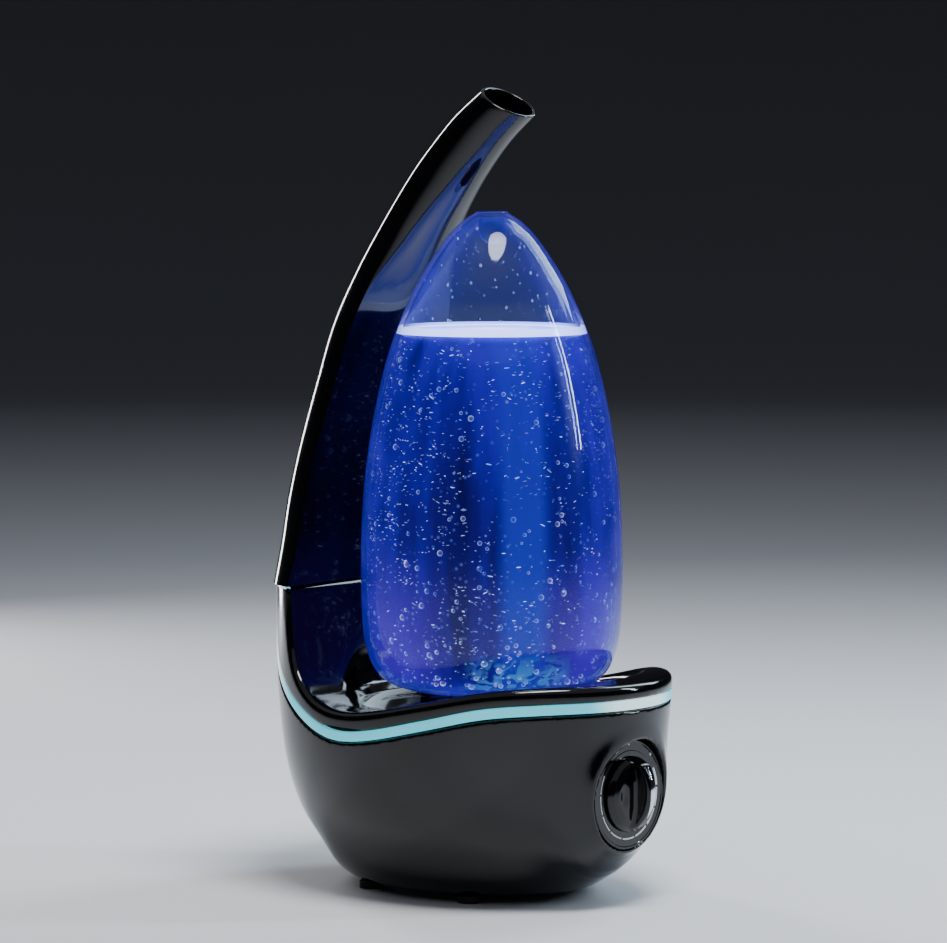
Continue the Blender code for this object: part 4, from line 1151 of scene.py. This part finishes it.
class HUMIDIFIER_OT_spring(bpy.types.Operator):
    """Wind the valve's spring, which reaches up towards the bridge above it"""

    bl_idname = "humidifier.spring"
    bl_label = "Valve spring"

    def execute(self, context):
        length = SPRING_HIGH - SPRING_LOW
        rings = []
        for share in np.linspace(0, 1, 109):
            # The end coils lie flat.
            rise = min(max((share - 0.1) / 0.8, 0), 1)
            height = SPRING_LOW + SPRING_WIRE + (length - 2 * SPRING_WIRE) * rise
            angle = 2 * math.pi * SPRING_TURNS * share
            out, up = np.array((math.cos(angle), math.sin(angle), 0)), np.array((0, 0, 1.0))
            middle = np.array((0, TANK_Y, height)) + out * SPRING_R
            turn = np.linspace(0, 2 * math.pi, 10, endpoint=False)
            rings.append(np.array([middle + SPRING_WIRE * (math.cos(t) * out + math.sin(t) * up) for t in turn]))
        ob = open_loft("spring_wire", rings, finish_of("zinc_plated_steel"))
        place(ob, "cap", "zinc_steel", "valve_spring")
        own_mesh(ob)
        return {"FINISHED"}


class HUMIDIFIER_OT_finishes(bpy.types.Operator):
    """Give every CAD piece that stays its real finish"""

    bl_idname = "humidifier.finishes"
    bl_label = "Finishes of the CAD pieces"

    def execute(self, context):
        for row in frame["record"]["subparts"]:
            ob = frame["nodes"][row["node"]]
            if ob.hide_render:
                continue
            finish = SLOT_FINISH.get(row["material_slot"])
            ob.data.materials.clear()
            ob.data.materials.append(finish_of(finish) if finish else gloss_black_abs())
        return {"FINISHED"}


def facing(azimuth, elevation):
    """Direction from the object to an azimuth and elevation, degrees. Azimuth 0 is in front of it."""
    a, e = math.radians(azimuth), math.radians(elevation)
    return Vector((math.sin(a) * math.cos(e), -math.cos(a) * math.cos(e), math.sin(e)))


def soft_box(name, azimuth, elevation, distance, size, power, tint="#FFFFFF", shape="RECTANGLE"):
    """A soft light at a distance from the object, in metres, aimed at its middle."""
    light = bpy.data.lights.new(name, "AREA")
    light.shape = shape
    light.size, light.size_y = size
    light.energy = power
    light.color = colour(tint)[:3]
    spot = Vector((0, 0, 0.2)) + facing(azimuth, elevation) * distance
    ob = bpy.data.objects.new(name, light)
    ob.location = spot
    ob.rotation_euler = (Vector((0, 0, 0.21)) - spot).to_track_quat("-Z", "Y").to_euler()
    bpy.context.scene.collection.objects.link(ob)


class HUMIDIFIER_OT_stage(bpy.types.Operator):
    """Lay the floor, set the lights and aim the camera"""

    bl_idname = "humidifier.stage"
    bl_label = "Floor, lights and camera"

    def execute(self, context):
        settings = context.scene.humidifier_stage
        deselect()
        # The floor is flat round the object and curves up far off.
        sweep = [(4500 + 1500 * math.sin(a), 1500 - 1500 * math.cos(a)) for a in np.linspace(0, math.pi / 2, 13)]
        profile = [(0.0, 0.0), *sweep, (6000.0, 3600.0)]
        floor = spun("floor", profile, (0, 0, 0), self.floor_paint_and_far_shade(settings), steps=64)
        self.world(settings.daylight)
        soft_box("key_box", -20, 74, 1.6, (0.8, 0.5), 26, shape="ELLIPSE")
        soft_box("right_strip", 40, 22, 1.3, (0.045, 0.62), 6, "#DDF0FF")
        soft_box("back_right_box", 84, 38, 1.3, (0.35, 0.8), 9, "#D5ECFF")
        soft_box("back_left_strip", 160, 16, 1.3, (0.12, 1.3), 9)
        self.camera()
        return {"FINISHED"}

    def floor_paint_and_far_shade(self, settings):
        """Matt emulsion paint, pale round the object, with painted shade that makes it darker far off where it curves
        up.
        """
        mat, tree, where = new_material("studio_floor_and_far_shade")
        tone = node(tree, "TexNoise", {"Scale": 3.0, "Detail": 3.0}, {"Vector": where})
        away = node(tree, "VectorMath", links={0: where}, operation="LENGTH")
        share = node(tree, "MapRange", {1: 0.0, 2: 6.0}, {0: away.outputs["Value"]})
        uneven = node(tree, "Math", {1: 0.02}, {0: tone}, operation="MULTIPLY")
        total = node(tree, "Math", links={0: share, 1: uneven}, operation="ADD")
        # Painted shade: the floor darkens with distance from the object.
        tint = node(tree, "ValToRGB", links={0: total}, stops=[
            (0.06, (*settings.floor_colour, 1.0)), (0.3, colour("#A9ABB0")), (0.7, colour("#55575C")),
            (1.0, colour("#3C3E43")),
        ])
        shader = node(tree, "BsdfPrincipled", {"Roughness": 0.85}, {"Base Color": tint})
        node(tree, "OutputMaterial", links={0: shader})
        return mat

    def world(self, strength):
        """Even, soft light from all round, a little dimmer and cooler overhead."""
        world = bpy.data.worlds.new("even_studio")
        world.use_nodes = True
        tree = world.node_tree
        tree.nodes.clear()
        axes = node(tree, "SeparateXYZ", links={0: node(tree, "TexCoord").outputs["Generated"]})
        up = node(tree, "MapRange", {1: -0.1, 2: 0.9}, {0: axes.outputs["Z"]})
        stops = [(0.0, colour("#E2E4E8")), (0.35, colour("#D4D7DE")), (1.0, colour("#B9BECA"))]
        tint = node(tree, "ValToRGB", links={0: up}, stops=stops)
        light = node(tree, "Background", {"Strength": strength}, {"Color": tint})
        node(tree, "OutputWorld", links={0: light})
        bpy.context.scene.world = world

    def camera(self):
        """A long lens, a little above level and to the left of the dial, with the object filling the frame."""
        azimuth, distance, width = -50, 2.2, 0.4922
        back = facing(azimuth, 4.5)
        right = Vector((math.cos(math.radians(azimuth)), math.sin(math.radians(azimuth)), 0))
        target = Vector((0, -0.0096, 0.218)) + right * -0.0095
        data = bpy.data.cameras.new("view")
        data.sensor_width = 36.0
        data.lens = data.sensor_width * distance / width
        cam = bpy.data.objects.new("view", data)
        cam.location = target + back * distance
        cam.rotation_euler = (-back).to_track_quat("-Z", "Y").to_euler()
        bpy.context.scene.collection.objects.link(cam)
        bpy.context.scene.camera = cam


OPERATORS = (
    HUMIDIFIER_OT_stage, HUMIDIFIER_OT_housing, HUMIDIFIER_OT_rim, HUMIDIFIER_OT_light_strip, HUMIDIFIER_OT_mist_arm,
    HUMIDIFIER_OT_tank, HUMIDIFIER_OT_water, HUMIDIFIER_OT_bubbles, HUMIDIFIER_OT_dial, HUMIDIFIER_OT_knob,
    HUMIDIFIER_OT_spring, HUMIDIFIER_OT_finishes,
)


class HUMIDIFIER_PT_panel(bpy.types.Panel):
    """Lists the settings and the steps that build the humidifier"""

    bl_idname = "HUMIDIFIER_PT_panel"
    bl_label = "Humidifier"
    bl_space_type = "VIEW_3D"
    bl_region_type = "UI"
    bl_category = "Humidifier"

    def draw(self, context):
        column = self.layout.column()
        for group in ("humidifier_shell", "humidifier_water", "humidifier_stage"):
            settings = getattr(context.scene, group)
            for name in settings.bl_rna.properties.keys():
                if name not in ("rna_type", "name"):
                    column.prop(settings, name)
        for step in OPERATORS:
            column.operator(step.bl_idname)


GROUPS = {
    "humidifier_shell": HumidifierShell,
    "humidifier_water": HumidifierWater,
    "humidifier_stage": HumidifierStage,
}


def register():
    for cls in (*GROUPS.values(), *OPERATORS, HUMIDIFIER_PT_panel):
        bpy.utils.register_class(cls)
    for name, cls in GROUPS.items():
        setattr(bpy.types.Scene, name, bpy.props.PointerProperty(type=cls))


def unregister():
    for name in GROUPS:
        delattr(bpy.types.Scene, name)
    for cls in (HUMIDIFIER_PT_panel, *reversed(OPERATORS), *reversed(list(GROUPS.values()))):
        bpy.utils.unregister_class(cls)


def main():
    register()
    for step in OPERATORS:
        getattr(bpy.ops.humidifier, step.bl_idname.split(".")[1])()


if __name__ == "__main__":
    main()
